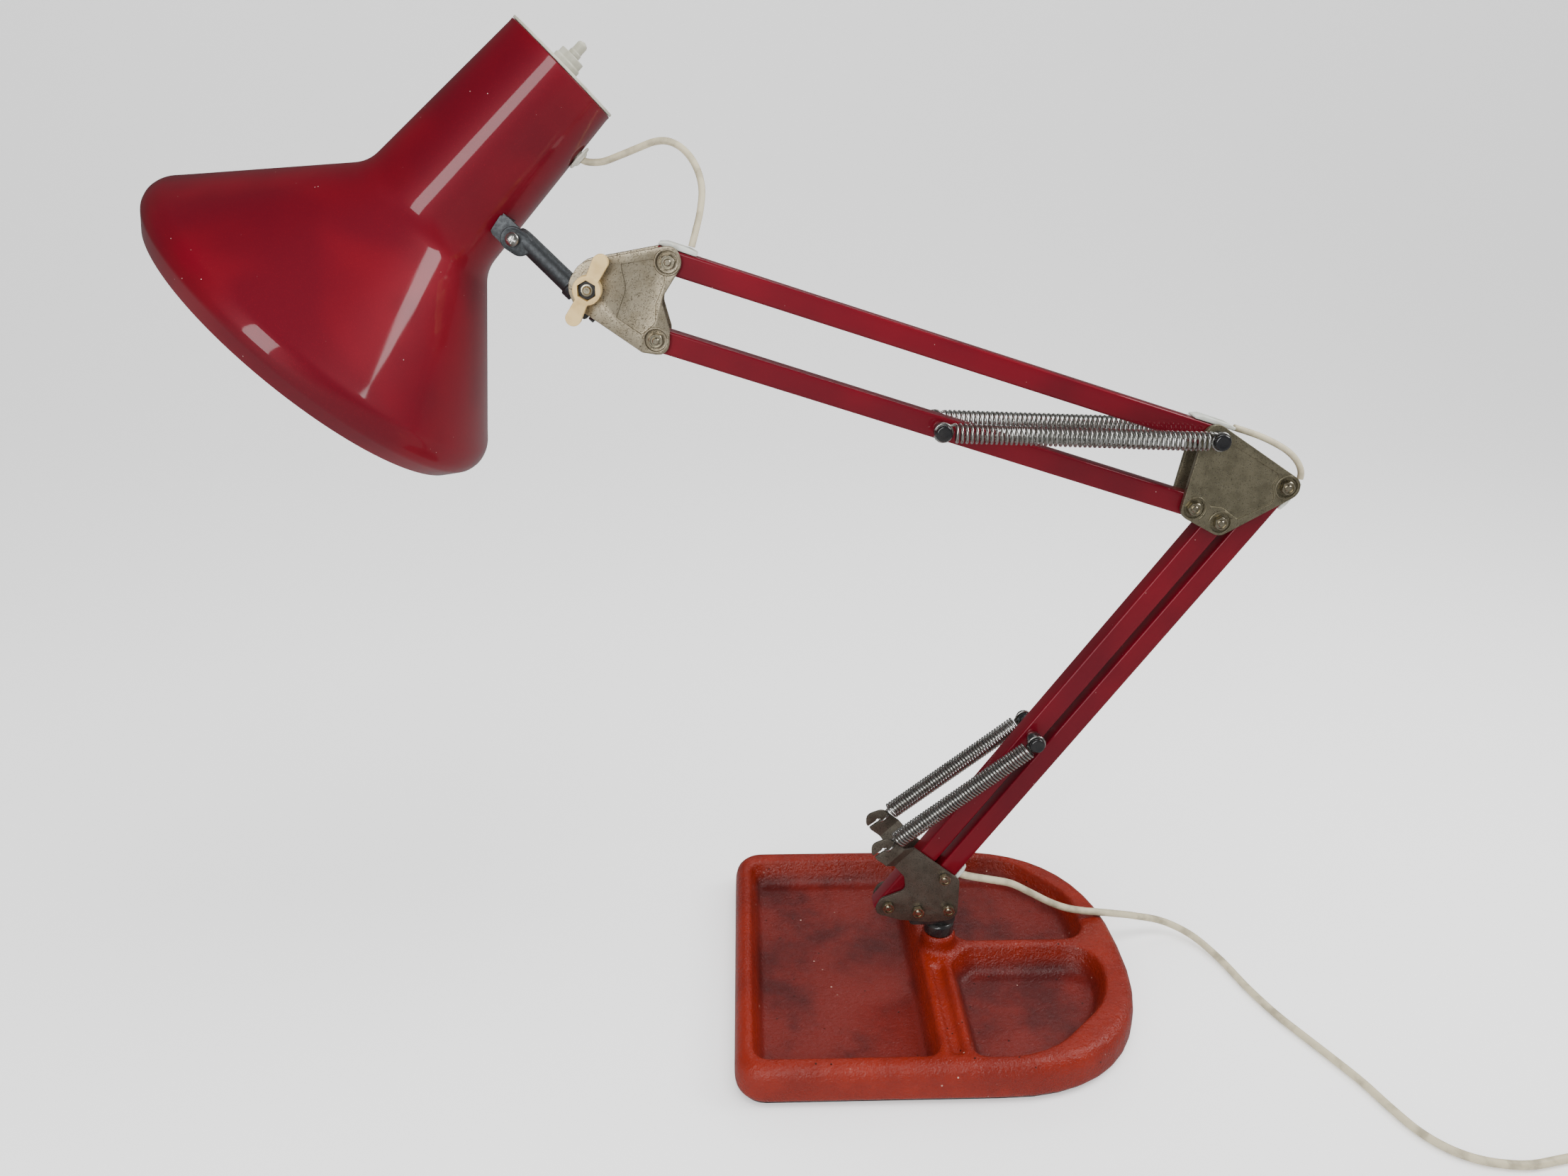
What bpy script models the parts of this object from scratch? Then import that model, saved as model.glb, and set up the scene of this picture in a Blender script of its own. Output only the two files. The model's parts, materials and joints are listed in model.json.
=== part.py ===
"""Architect desk lamp: a spring-balanced lamp on a heavy tray base.

The origin is where the swivel post's axis meets the ground. X runs to the lamp's right,
Y away from the front, Z up. Both arm pairs lie in the XZ plane. Sizes are in metres.
"""
import math

import bmesh
import bpy
from mathutils import Matrix, Vector
from mathutils.geometry import interpolate_bezier

MM = 0.001
CLEAR = 0.3 * MM                # gap between neighbours that touch

# --- driving dimensions of the linkage ---
ARM = 300 * MM                  # pivot to pivot, all four bars
BAR = 12 * MM                   # side of the square tubes
BAR_WALL = 1.0 * MM
BAR_END = 6.5 * MM              # a bar runs this far past its pivot
BOLT_R = 2.0 * MM
HOLE_R = 2.3 * MM
LOWER_ANGLE = math.radians(55.27)
UPPER_ANGLE = math.radians(162.73)
LOWER_PIVOT = (0.0, 79.7 * MM)              # front lower bar on the bracket
LOWER_LINK = (33.7 * MM, 19.8 * MM)         # rear lower pivot to the front one
ELBOW_LINK = (-15.5 * MM, 8.2 * MM)         # rear lower bar's top to the bottom upper bar
UPPER_LINK = (6.9 * MM, 38.3 * MM)          # bottom upper pivot to the top one
LOWER_KNOB_AT = 140.7 * MM      # spring knob along the rear lower bar
UPPER_KNOB_AT = 145.9 * MM      # spring knob along the bottom upper bar

# --- plates and springs, measured out from the arms' mid-plane ---
PLATE_IN = 6.6 * MM
SHEET = 1.6 * MM                # stamped bracket plate
ELBOW_OUT = 9.8 * MM
HEAD_OUT = 9.2 * MM
NUT_POCKET_R = 5.5 * MM
NUT_POCKET = 1.5 * MM
PANEL_DEPTH = 0.8 * MM
SPRING_Y = 16 * MM
SPRING_R = 5.35 * MM
WIRE_R = 0.65 * MM
KNOB_R = 4.5 * MM

# --- base ---
BASE_LEFT = -128 * MM
BASE_RIGHT = 117 * MM
BASE_HALF = 107 * MM
BASE_TOP = 25 * MM
PAD = 1.2 * MM
WELL_FLOOR = 9 * MM
WELL_SLOPE = 7 * MM
BOSS_TOP = 36 * MM
BOSS_R = 10.5 * MM

# --- head ---
WING = (-197.1 * MM, 429.2 * MM)            # tilt clamp axis
EYE = (-233.5 * MM, 452.2 * MM)             # shade screw axis
EYE_Y = (-5.5 * MM, -2.5 * MM)
STEM_FROM = Vector((-227.05, 0, 449.85)) * MM
STEM_DIR = Vector((1, 0, -1)).normalized()
STEM_R = 5.5 * MM
SHADE_TOP = Vector((-209.3, 27.5, 530.6)) * MM
SHADE_DOWN = Vector((-0.7048, -0.0812, -0.7048)).normalized()
SHADE_WALL = 1.2 * MM
NECK_LENGTH = 98.8 * MM
NECK_R = (31.2 * MM, 37.2 * MM)             # at the cap, at the cone
GROMMET_AT = 24.7 * MM

LEAD_R = 2.3 * MM
LOOP_CORD_R = 1.75 * MM


# %% places worked out from the linkage
def polar(angle):
    return Vector((math.cos(angle), math.sin(angle)))


LOWER_DIR = polar(LOWER_ANGLE)
UPPER_DIR = polar(UPPER_ANGLE)
B1 = Vector(LOWER_PIVOT)
B2 = B1 - Vector(LOWER_LINK)
E1 = B1 + ARM * LOWER_DIR
E3 = B2 + ARM * LOWER_DIR
E2 = E3 + Vector(ELBOW_LINK)
E0 = E2 + Vector(UPPER_LINK)
H1 = E0 + ARM * UPPER_DIR
H2 = E2 + ARM * UPPER_DIR
B3 = Vector((-15.1, 56.3)) * MM
B4 = Vector((3.6, 57.2)) * MM
HOOK = Vector((-37.7, 107.0)) * MM
LOWER_KNOB = B2 + LOWER_KNOB_AT * LOWER_DIR
UPPER_KNOB = E2 + UPPER_KNOB_AT * UPPER_DIR
SHADE_SIDE = Vector((1, 0, -1)).normalized()
NECK_SIDE = (SHADE_SIDE - SHADE_SIDE.dot(SHADE_DOWN) * SHADE_DOWN).normalized()


# %% materials
def material(name, colour, roughness, metallic=0.0):
    found = bpy.data.materials.get(name)
    if found:
        return found
    mat = bpy.data.materials.new(name)
    mat.use_nodes = True
    shader = mat.node_tree.nodes["Principled BSDF"]
    shader.inputs["Base Color"].default_value = (*colour, 1)
    shader.inputs["Roughness"].default_value = roughness
    shader.inputs["Metallic"].default_value = metallic
    mat.diffuse_color = (*colour, 1)
    return mat


def wine_red():
    return material("wine_lacquer", (0.19, 0.006, 0.016), 0.28, 0.4)


def hammered_red():
    return material("hammered_enamel", (0.33, 0.03, 0.014), 0.42)


def plate_nickel():
    return material("plate_nickel", (0.30, 0.27, 0.20), 0.45, 1)


def bracket_steel():
    return material("bracket_steel", (0.16, 0.125, 0.10), 0.5, 1)


def elbow_nickel():
    return material("elbow_nickel", (0.22, 0.20, 0.13), 0.45, 1)


def bright_steel():
    return material("bright_steel", (0.55, 0.55, 0.53), 0.25, 1)


def gunmetal():
    return material("gunmetal", (0.07, 0.08, 0.09), 0.45, 0.8)


def black_plastic():
    return material("black_plastic", (0.012, 0.012, 0.014), 0.18)


def cream_plastic():
    return material("cream_plastic", (0.78, 0.62, 0.36), 0.4)


def milky_plastic():
    return material("milky_plastic", (0.66, 0.68, 0.64), 0.35)


def switch_plastic():
    return material("switch_plastic", (0.60, 0.62, 0.51), 0.35)


def lead_sheath():
    return material("lead_sheath", (0.74, 0.70, 0.58), 0.45)


def rubber_pad():
    return material("rubber_pad", (0.02, 0.02, 0.02), 0.9)


def lamp_glass():
    return material("lamp_glass", (0.85, 0.86, 0.84), 0.15)


# %% joint axes: an empty for each moving body
def joint_empty(name, x, z, parent=None, y=0.0):
    empty = bpy.data.objects.new(name, None)
    empty.empty_display_size = 0.02
    empty.matrix_world = Matrix.Translation((x, y, z))
    bpy.context.collection.objects.link(empty)
    if parent:
        bpy.context.view_layer.update()
        empty.parent = parent
        empty.matrix_parent_inverse = parent.matrix_world.inverted()
    return empty


# %% shape helpers
def finish(name, bm, mat, holder=None, smooth=False, angle=35):
    """Turn a bmesh in world coordinates into a named object held by its joint's empty."""
    bmesh.ops.recalc_face_normals(bm, faces=bm.faces)
    mesh = bpy.data.meshes.new(name)
    bm.to_mesh(mesh)
    bm.free()
    if smooth:
        mesh.shade_smooth()
        mesh.set_sharp_from_angle(angle=math.radians(angle))
    mesh.materials.append(mat)
    obj = bpy.data.objects.new(name, mesh)
    bpy.context.collection.objects.link(obj)
    if holder:
        bpy.context.view_layer.update()
        mesh.transform(Matrix.Translation(-holder.matrix_world.translation))
        obj.parent = holder
    return obj


def rounded(corners, steps=5):
    """Outline through (x, z, radius) corners, with each corner filleted."""
    points = []
    count = len(corners)
    for i, (x, z, radius) in enumerate(corners):
        here = Vector((x, z))
        before = Vector(corners[i - 1][:2]) - here
        after = Vector(corners[(i + 1) % count][:2]) - here
        if radius <= 0:
            points.append(here)
            continue
        half = before.angle(after) / 2
        reach = min(radius / math.tan(half), 0.49 * before.length, 0.49 * after.length)
        start = here + before.normalized() * reach
        end = here + after.normalized() * reach
        pull = 0.55 * reach
        curve = interpolate_bezier(
            start.to_3d(), (start - before.normalized() * pull).to_3d(),
            (end - after.normalized() * pull).to_3d(), end.to_3d(), steps)
        points += [p.to_2d() for p in curve]
    return points


def scaled(corners):
    return [(x * MM, z * MM, r * MM) for x, z, r in corners]


def circle(centre, radius, count=16):
    turn = 2 * math.pi / count
    return [Vector(centre) + radius * polar(i * turn) for i in range(count)]


def hull_round(discs, count=32):
    """Convex outline round a set of (centre, radius) discs."""
    points = []
    for i in range(count):
        way = polar(2 * math.pi * i / count)
        centre, radius = max(discs, key=lambda d: Vector(d[0]).dot(way) + d[1])
        points.append(Vector(centre) + radius * way)
    return points


def fill_loops(bm, loops, place):
    """Flat face with holes from 2-D loops, the first one being the outline."""
    edges = []
    for loop in loops:
        verts = [bm.verts.new(place(p)) for p in loop]
        for a, b in zip(verts, verts[1:] + verts[:1]):
            edges.append(bm.edges.new((a, b)))
    bmesh.ops.triangle_fill(bm, use_beauty=True, use_dissolve=False, edges=edges)


def thicken(bm, offset):
    grown = bmesh.ops.extrude_face_region(bm, geom=bm.faces[:])["geom"]
    moved = [v for v in grown if isinstance(v, bmesh.types.BMVert)]
    bmesh.ops.translate(bm, verts=moved, vec=offset)


def plate_bm(outline, holes, y0, y1):
    bm = bmesh.new()
    fill_loops(bm, [outline, *holes], lambda p: (p[0], y0, p[1]))
    thicken(bm, (0, y1 - y0, 0))
    bmesh.ops.recalc_face_normals(bm, faces=bm.faces)
    return bm


def turned_bm(profile, origin, along, steps=20, closed=False):
    """Turn (radius, height) points round the line through origin.

    A closed profile makes a ring; an open one is capped where it meets the line.
    """
    bm = bmesh.new()
    along = Vector(along).normalized()
    frame = along.to_track_quat("Z", "Y").to_matrix()
    rings = []
    for radius, height in profile:
        if radius < 1e-7:
            rings.append([bm.verts.new(Vector(origin) + along * height)])
            continue
        ring = []
        for i in range(steps):
            way = polar(2 * math.pi * i / steps)
            ring.append(bm.verts.new(
                Vector(origin) + frame @ Vector((radius * way.x, radius * way.y, height))))
        rings.append(ring)
    pairs = list(zip(rings, rings[1:]))
    if closed:
        pairs.append((rings[-1], rings[0]))
    for low, high in pairs:
        for i in range(steps):
            j = (i + 1) % steps
            if len(low) == 1:
                bm.faces.new((low[0], high[j], high[i]))
            elif len(high) == 1:
                bm.faces.new((low[i], low[j], high[0]))
            else:
                bm.faces.new((low[i], low[j], high[j], high[i]))
    return bm


def turned(name, profile, origin, along, mat, holder=None, steps=20, closed=False):
    bm = turned_bm(profile, origin, along, steps, closed)
    return finish(name, bm, mat, holder, smooth=True)


def across(point, y=0.0):
    """A point of the XZ plane as a place in the world."""
    return Vector((point[0], y, point[1]))


def helper(name, bm):
    """A tool for a Boolean: it stays in the file as a wire guide."""
    bmesh.ops.recalc_face_normals(bm, faces=bm.faces)
    mesh = bpy.data.meshes.new(name)
    bm.to_mesh(mesh)
    bm.free()
    obj = bpy.data.objects.new(name, mesh)
    obj.display_type = "WIRE"
    obj.hide_render = True
    bpy.context.collection.objects.link(obj)
    return obj


def combine(obj, tool, operation="DIFFERENCE"):
    mod = obj.modifiers.new(tool.name, "BOOLEAN")
    mod.operation = operation
    mod.solver = "EXACT"
    mod.object = tool


def box_bm(centre, half, axes):
    bm = bmesh.new()
    bmesh.ops.create_cube(bm, size=2)
    columns = [Vector(a) * h for a, h in zip(axes, half)]
    matrix = Matrix.Translation(centre) @ Matrix(columns).transposed().to_4x4()
    bmesh.ops.transform(bm, matrix=matrix, verts=bm.verts)
    bmesh.ops.recalc_face_normals(bm, faces=bm.faces)
    return bm


# %% base: tray casting, ground pad, bush
def base_outline(inset=0.0, count=22):
    """Square-cornered left end, superelliptic right end."""
    corner = 18 * MM
    left = BASE_LEFT + inset
    half = BASE_HALF - inset
    middle = 20 * MM
    reach = BASE_RIGHT - inset - middle
    power = 2 / 2.5
    points = []
    for i in range(count + 1):
        way = polar(math.pi * (i / count - 0.5))
        points.append(Vector((
            middle + reach * abs(way.x) ** power,
            half * math.copysign(abs(way.y) ** power, way.y))))
    soft = corner - inset
    for quarter, (cx, cy) in enumerate(((left + soft, half - soft), (left + soft, soft - half))):
        for i in range(7):
            turn = math.pi * (0.5 + quarter * 0.5 + i / 12)
            points.append(Vector((cx, cy)) + soft * polar(turn))
    return points


def well_outlines():
    """Corner lists of the three wells at the rim's top edge."""
    left = scaled([(-118, -96, 10), (-11.5, -96, 9), (-11.5, 94, 9), (-118, 94, 10)])
    front = scaled([(5, -97, 9), (48, -97, 60), (99, -48, 50), (99, -2, 20), (18, -2, 6),
                    (5, -16, 8)])
    back = scaled([(5, 17, 8), (18, 3.5, 6), (97, 3.5, 16), (97, 50, 30),
                   (62, 95, 34), (5, 95, 9)])
    return {"left": left, "front": front, "back": back}


def inset_corners(corners, amount):
    """Mitre an anticlockwise corner list inward by amount."""
    moved = []
    count = len(corners)
    for i, (x, y, radius) in enumerate(corners):
        here = Vector((x, y))
        arrive = (here - Vector(corners[i - 1][:2])).normalized()
        leave = (Vector(corners[(i + 1) % count][:2]) - here).normalized()
        normals = Vector((-arrive.y, arrive.x)), Vector((-leave.y, leave.x))
        step = (normals[0] + normals[1]) * amount / (1 + normals[0].dot(normals[1]))
        hollow = arrive.cross(leave) < 0
        moved.append((*(here + step), max(radius + (amount if hollow else -amount), 2 * MM)))
    return moved


def loft(bm, loops):
    """Closed solid through stacked (outline, z) loops that have equal counts."""
    rings = [[bm.verts.new((p.x, p.y, z)) for p in outline] for outline, z in loops]
    count = len(rings[0])
    for low, high in zip(rings, rings[1:]):
        for i in range(count):
            j = (i + 1) % count
            bm.faces.new((low[i], low[j], high[j], high[i]))
    bm.faces.new(rings[0][::-1])
    bm.faces.new(rings[-1])


def base_casting():
    rim = ((3.0, PAD / MM + 0.3), (0.6, 4.0), (0.0, 8.0), (0.4, 17.0), (1.8, 21.5), (5.5, BASE_TOP / MM))
    bm = bmesh.new()
    loft(bm, [(base_outline(inset * MM), z * MM) for inset, z in rim])
    casting = finish("base_casting", bm, hammered_red(), smooth=True)
    for name, corners in well_outlines().items():
        tool = bmesh.new()
        loft(tool, [(rounded(inset_corners(corners, WELL_SLOPE)), WELL_FLOOR), (rounded(corners), BASE_TOP),
                    (rounded(corners), BASE_TOP + 5 * MM)])
        combine(casting, helper(f"cut_{name}_well", tool))
    boss = turned_bm([(0, WELL_FLOOR - 3 * MM), (BOSS_R + 2 * MM, WELL_FLOOR - 3 * MM),
                      (BOSS_R + 0.8 * MM, BASE_TOP), (BOSS_R, BOSS_TOP - 1 * MM),
                      (BOSS_R - 1 * MM, BOSS_TOP), (0, BOSS_TOP)], (0, 0, 0), (0, 0, 1), 32)
    combine(casting, helper("add_boss", boss), "UNION")
    bore = turned_bm([(0, 10 * MM), (8 * MM, 10 * MM), (8 * MM, 40 * MM), (0, 40 * MM)],
                     (0, 0, 0), (0, 0, 1), 24)
    combine(casting, helper("cut_post_bore", bore))


def base_pad():
    bm = bmesh.new()
    loft(bm, [(base_outline(4 * MM), 0), (base_outline(4 * MM), PAD)])
    finish("base_pad", bm, rubber_pad())


def swivel_bush():
    turned("swivel_bush", [(6.3 * MM, 10.4 * MM), (7.7 * MM, 10.4 * MM), (7.7 * MM, BOSS_TOP - 0.3 * MM),
                           (6.3 * MM, BOSS_TOP - 0.3 * MM)],
           (0, 0, 0), (0, 0, 1), bright_steel(), steps=24, closed=True)


# %% fasteners
def hex_bm(centre, y0, y1, flats=7.0 * MM, turn=0.3):
    radius = flats / math.sqrt(3)
    outline = [Vector(centre) + radius * polar(turn + i * math.pi / 3) for i in range(6)]
    return plate_bm(outline, [], y0, y1)


def pivot_bolt(name, centre, holder, face, head=None):
    """Bolt with a hexagon head at the back and a hexagon nut in front."""
    back = head or face
    nut = 2.8 * MM
    shank = turned_bm([(0, 0), (BOLT_R, 0), (BOLT_R, face + back + 2 * nut - 0.3 * MM),
                       (1.4 * MM, face + back + 2 * nut + 0.6 * MM), (0, face + back + 2 * nut + 0.6 * MM)],
                      across(centre, back + nut - 0.8 * MM), (0, -1, 0), 12)
    bolt = finish(name, shank, bright_steel(), holder)
    for part, low, high in (("nut", -face - nut, -face), ("head", back, back + nut)):
        tool = helper(f"{name}_{part}", hex_bm(centre, low, high))
        combine(bolt, tool, "UNION")
    return bolt


def spring_pin(name, centre, holder, collar=True):
    """Cross pin that carries a knob at each end; collars keep the knobs off the bar."""
    tip = 16.6 * MM
    half = [(0, 0), (BOLT_R, 0)]
    if collar:
        half += [(BOLT_R, tip - 9.8 * MM), (3.6 * MM, tip - 9.8 * MM), (3.6 * MM, tip - 6.3 * MM),
                 (BOLT_R, tip - 6.3 * MM)]
    other = [(r, 2 * tip - h) for r, h in reversed(half)]
    turned(name, half + other, across(centre, tip), (0, -1, 0), bright_steel(), holder, 12)


def spring_knob(name, centre, holder, side):
    """Glossy bobbin with a groove that the spring's loop sits in."""
    bore = [(0, 17.2), (HOLE_R / MM, 17.2)]
    rim = KNOB_R / MM
    body = [(HOLE_R / MM, 10.1), (rim, 10.1), (rim, 14.2), (3.2, 14.7), (3.2, 17.3),
            (rim, 17.8), (rim, 18.8), (rim - 1, 19.5), (0, 19.8)]
    profile = [(r * MM, h * MM) for r, h in bore + body]
    turned(name, profile, across(centre), (0, side, 0), black_plastic(), holder, 16)


def knob_pair(prefix, centre, holder):
    for side, place in ((-1, "front"), (1, "rear")):
        spring_knob(f"{prefix}_{place}_knob", centre, holder, side)


# %% bars, clips and springs
def square_bar(name, start, end, holes, holder, mat):
    """Square tube with a cross hole at each pivot."""
    way = (end - start).normalized()
    side = Vector((-way.y, way.x))
    a = start - way * BAR_END
    b = end + way * BAR_END
    half = BAR / 2
    inner = half - BAR_WALL
    bm = bmesh.new()
    rings = []
    for point in (a, b):
        for size in (half, inner):
            rings.append([bm.verts.new(across(point + side * (sx * size), sy * size))
                          for sx, sy in ((-1, -1), (1, -1), (1, 1), (-1, 1))])
    outer_a, inner_a, outer_b, inner_b = rings
    for i in range(4):
        j = (i + 1) % 4
        bm.faces.new((outer_a[i], outer_a[j], outer_b[j], outer_b[i]))
        bm.faces.new((inner_a[j], inner_a[i], inner_b[i], inner_b[j]))
        bm.faces.new((outer_a[j], outer_a[i], inner_a[i], inner_a[j]))
        bm.faces.new((outer_b[i], outer_b[j], inner_b[j], inner_b[i]))
    bar = finish(name, bm, mat, holder)
    for number, hole in enumerate(holes):
        tool = plate_bm(circle(hole, HOLE_R, 12), [], -BAR, BAR)
        combine(bar, helper(f"cut_{name}_{number}", tool))


def cord_clip(name, pivot, way, face, along, rise, holder):
    """Milky clip lying on a bar's face, from along[0] to along[1] past the pivot."""
    low = BAR / 2 + CLEAR
    corners = [(along[0], low), (along[1], low),
               (along[1], low + 0.5 * rise), (along[1] - 4 * MM, low + rise),
               (along[0] + 4 * MM, low + rise), (along[0], low + 0.7 * rise)]
    outline = [pivot + way * u + face * v for u, v in corners]
    finish(name, plate_bm(outline, [], -5.4 * MM, 5.4 * MM), milky_plastic(), holder)


def spring(name, start, end, y, gaps, holder):
    """Coil body with a straight wire tail at each end."""
    span = across(end - start)
    length = span.length
    body = (gaps[0] + 1 * MM, length - gaps[1] - 1 * MM)
    profile = [(0, gaps[0]), (WIRE_R, gaps[0]), (WIRE_R, body[0]), (SPRING_R, body[0]),
               (SPRING_R, body[1]), (WIRE_R, body[1]), (WIRE_R, length - gaps[1]), (0, length - gaps[1])]
    turned(name, profile, across(start, y), span, bright_steel(), holder, 14)


# %% swivel bracket
def swivel_post(holder):
    turned("swivel_post", [(0, 12.3 * MM), (6 * MM, 12.3 * MM), (6 * MM, BOSS_TOP + CLEAR),
                           (9.3 * MM, BOSS_TOP + CLEAR), (9.3 * MM, 42.5 * MM), (8 * MM, 44 * MM),
                           (6 * MM, 44 * MM), (6 * MM, 50.5 * MM), (0, 50.5 * MM)],
           (0, 0, 0), (0, 0, 1), black_plastic(), holder, 24)


def pivot_block(holder):
    outline = rounded(scaled([(-20, 44.3, 3), (8.5, 44.3, 3), (8.5, 62, 4), (-20, 62, 4)]), 3)
    holes = [circle(B3, HOLE_R, 12), circle(B4, HOLE_R, 12)]
    block = finish("pivot_block", plate_bm(outline, holes, -6.3 * MM, 6.3 * MM), black_plastic(), holder)
    socket = turned_bm([(0, 40 * MM), (6.3 * MM, 40 * MM), (6.3 * MM, 51 * MM), (0, 51 * MM)],
                       (0, 0, 0), (0, 0, 1), 24)
    combine(block, helper("cut_post_socket", socket))


def bracket_plate(name, side, holder):
    """Stamped sheet: flat cheek, joggled lug with a slit spring hook hole."""
    outline = rounded(scaled([
        (9.5, 49, 7), (9.5, 78, 4), (-19.2, 101, 1.5), (-28.2, 107.2, 1.5), (-36.2, 113.9, 5),
        (-46.3, 109.8, 5), (-46.2, 103.6, 1.5), (-45.1, 102.0, 0.3), (-40.4, 105.8, 0.3),
        (-39.8, 107.2, 0.6), (-38.0, 107.6, 0.6), (-37.2, 106.4, 0.6), (-37.7, 105.2, 0.6),
        (-39.4, 104.6, 0.3), (-44.1, 100.8, 0.3), (-42.9, 99.2, 1.5), (-38.9, 96.2, 3),
        (-30.5, 88, 2), (-24.6, 81, 3), (-23.4, 71.5, 4), (-38.5, 65, 5),
        (-43, 55, 6), (-26, 49.5, 4), (-8, 47.5, 8)]), 4)
    holes = [circle(p, HOLE_R, 12) for p in (B1, B2, B3, B4)]
    bm = bmesh.new()
    fill_loops(bm, [outline, *holes], lambda p: (p[0], 0, p[1]))
    bend = Vector((-0.72, 0, 0.69)).normalized()
    first = Vector((-25.5, 0, 94.5)) * MM
    joggle = 8.5 * MM
    for line in (first, first + bend * joggle):
        geom = bm.verts[:] + bm.edges[:] + bm.faces[:]
        bmesh.ops.bisect_plane(bm, geom=geom, plane_co=line, plane_no=bend, dist=1e-7)
    lug_in = SPRING_Y - SHEET / 2
    for vert in bm.verts:
        travel = min(max((vert.co - first).dot(bend), 0), joggle) / joggle
        vert.co.y = side * (PLATE_IN + travel * (lug_in - PLATE_IN))
    thicken(bm, (0, side * SHEET, 0))
    finish(name, bm, bracket_steel(), holder)


# %% elbow and head plates
def cast_plate(name, outline, pivots, pockets, panel, side, outer, mat, holder):
    """Die-cast cheek with nut pockets and a sunk panel on its outer face."""
    holes = [circle(p, HOLE_R, 12) for p in pivots]
    plate = finish(name, plate_bm(outline, holes, side * PLATE_IN, side * outer), mat, holder)
    beyond = side * (outer + 2 * MM)
    for number, centre in enumerate(pockets):
        tool = plate_bm(circle(centre, NUT_POCKET_R, 16), [], side * (outer - NUT_POCKET), beyond)
        combine(plate, helper(f"cut_{name}_pocket_{number}", tool))
    tool = plate_bm(panel, [], side * (outer - PANEL_DEPTH), beyond)
    combine(plate, helper(f"cut_{name}_panel", tool))


def elbow_plates(holder):
    outline = hull_round([(E0, 7.4 * MM), (E1, 7.0 * MM), (E3, 7.0 * MM), (E2, 7.0 * MM)])
    panel = rounded([(*(E0 + Vector((-2.6, -8)) * MM), 2 * MM), (*(E2 + Vector((2.2, 9)) * MM), 3 * MM),
                     (*(E2 + Vector((9, 1)) * MM), 2 * MM), (*(E3 + Vector((0, 8.6)) * MM), 3 * MM),
                     (*(E3 + Vector((9, 2)) * MM), 2 * MM), (*(E1 + Vector((-6, -8)) * MM), 3 * MM),
                     (*(E1 + Vector((-8.4, 2)) * MM), 3 * MM), (*(E1 + Vector((-5, 7)) * MM), 2 * MM),
                     (*(E0 + Vector((9, -3)) * MM), 3 * MM)], 3)
    for side, place in ((-1, "front"), (1, "rear")):
        cast_plate(f"elbow_{place}_plate", outline, (E0, E1, E2, E3), (E1, E2, E3), panel, side,
                   ELBOW_OUT, elbow_nickel(), holder)


def head_plates(holder):
    wing = Vector(WING)
    outline = rounded([
        (*(wing + Vector((-11.5, 1)) * MM), 10 * MM), (*(wing + Vector((-7, -9)) * MM), 7 * MM),
        (*(H2 + Vector((-7, -6)) * MM), 4 * MM), (*(H2 + Vector((6.5, -8)) * MM), 7 * MM),
        (*(H2 + Vector((7.2, 5)) * MM), 5 * MM), (*(H2 + Vector((3.2, 20)) * MM), 6 * MM),
        (*(H1 + Vector((7.5, -1)) * MM), 6 * MM), (*(H1 + Vector((4, 8.5)) * MM), 7 * MM),
        (*(wing + Vector((-4, 12.5)) * MM), 9 * MM)], 5)
    panel = rounded([
        (*(H1 + Vector((-23, -1)) * MM), 1 * MM), (*(wing + Vector((18.5, 0)) * MM), 9 * MM),
        (*(wing + Vector((13, -14)) * MM), 1 * MM), (*(H2 + Vector((-7, 3)) * MM), 1 * MM),
        (*(H2 + Vector((0, 8.5)) * MM), 3 * MM), (*(H2 + Vector((0.5, 18)) * MM), 5 * MM),
        (*(H1 + Vector((-1, -8.2)) * MM), 4 * MM), (*(H1 + Vector((-7, 1.6)) * MM), 2 * MM)], 3)
    for side, place in ((-1, "front"), (1, "rear")):
        cast_plate(f"head_{place}_plate", outline, (H1, H2, wing), (H1, H2), panel, side,
                   HEAD_OUT, plate_nickel(), holder)


# %% tilt clamp and stem
def clamp_bolt(holder):
    wing = Vector(WING)
    back = HEAD_OUT + 0.3 * MM
    shank = turned_bm([(0, 0), (2 * MM, 0), (2 * MM, 28.5 * MM), (1.4 * MM, 29.2 * MM), (0, 29.2 * MM)],
                      across(wing, back + 1.5 * MM), (0, -1, 0), 12)
    bolt = finish("clamp_bolt", shank, bright_steel(), holder)
    combine(bolt, helper("clamp_bolt_head", hex_bm(wing, back, back + 3 * MM)), "UNION")


def wing_knob(holder):
    """Two-winged thumb nut with a hexagon recess."""
    wing = Vector(WING)
    way = polar(math.radians(61.6))
    face = HEAD_OUT + CLEAR
    bm = turned_bm([(HOLE_R, face), (7 * MM, face), (7 * MM, 19 * MM), (4.2 * MM, 19 * MM),
                    (4.2 * MM, 15 * MM), (HOLE_R, 15 * MM)], across(wing), (0, -1, 0), 24, closed=True)
    knob = finish("wing_knob", bm, cream_plastic(), holder, smooth=True)
    for number, sign in enumerate((1, -1)):
        tip = wing + way * (15 * MM * sign)
        root = wing + way * (6.2 * MM * sign)
        outline = hull_round([(tip, 4 * MM), (root, 3.2 * MM)], 20)
        combine(knob, helper(f"add_wing_{number}", plate_bm(outline, [], -18.8 * MM, -12.5 * MM)), "UNION")


def stem_frame(u, v):
    """A place u along the stem and v to its upper right side."""
    return STEM_FROM + STEM_DIR * u * MM + Vector((1, 0, 1)).normalized() * v * MM


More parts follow.
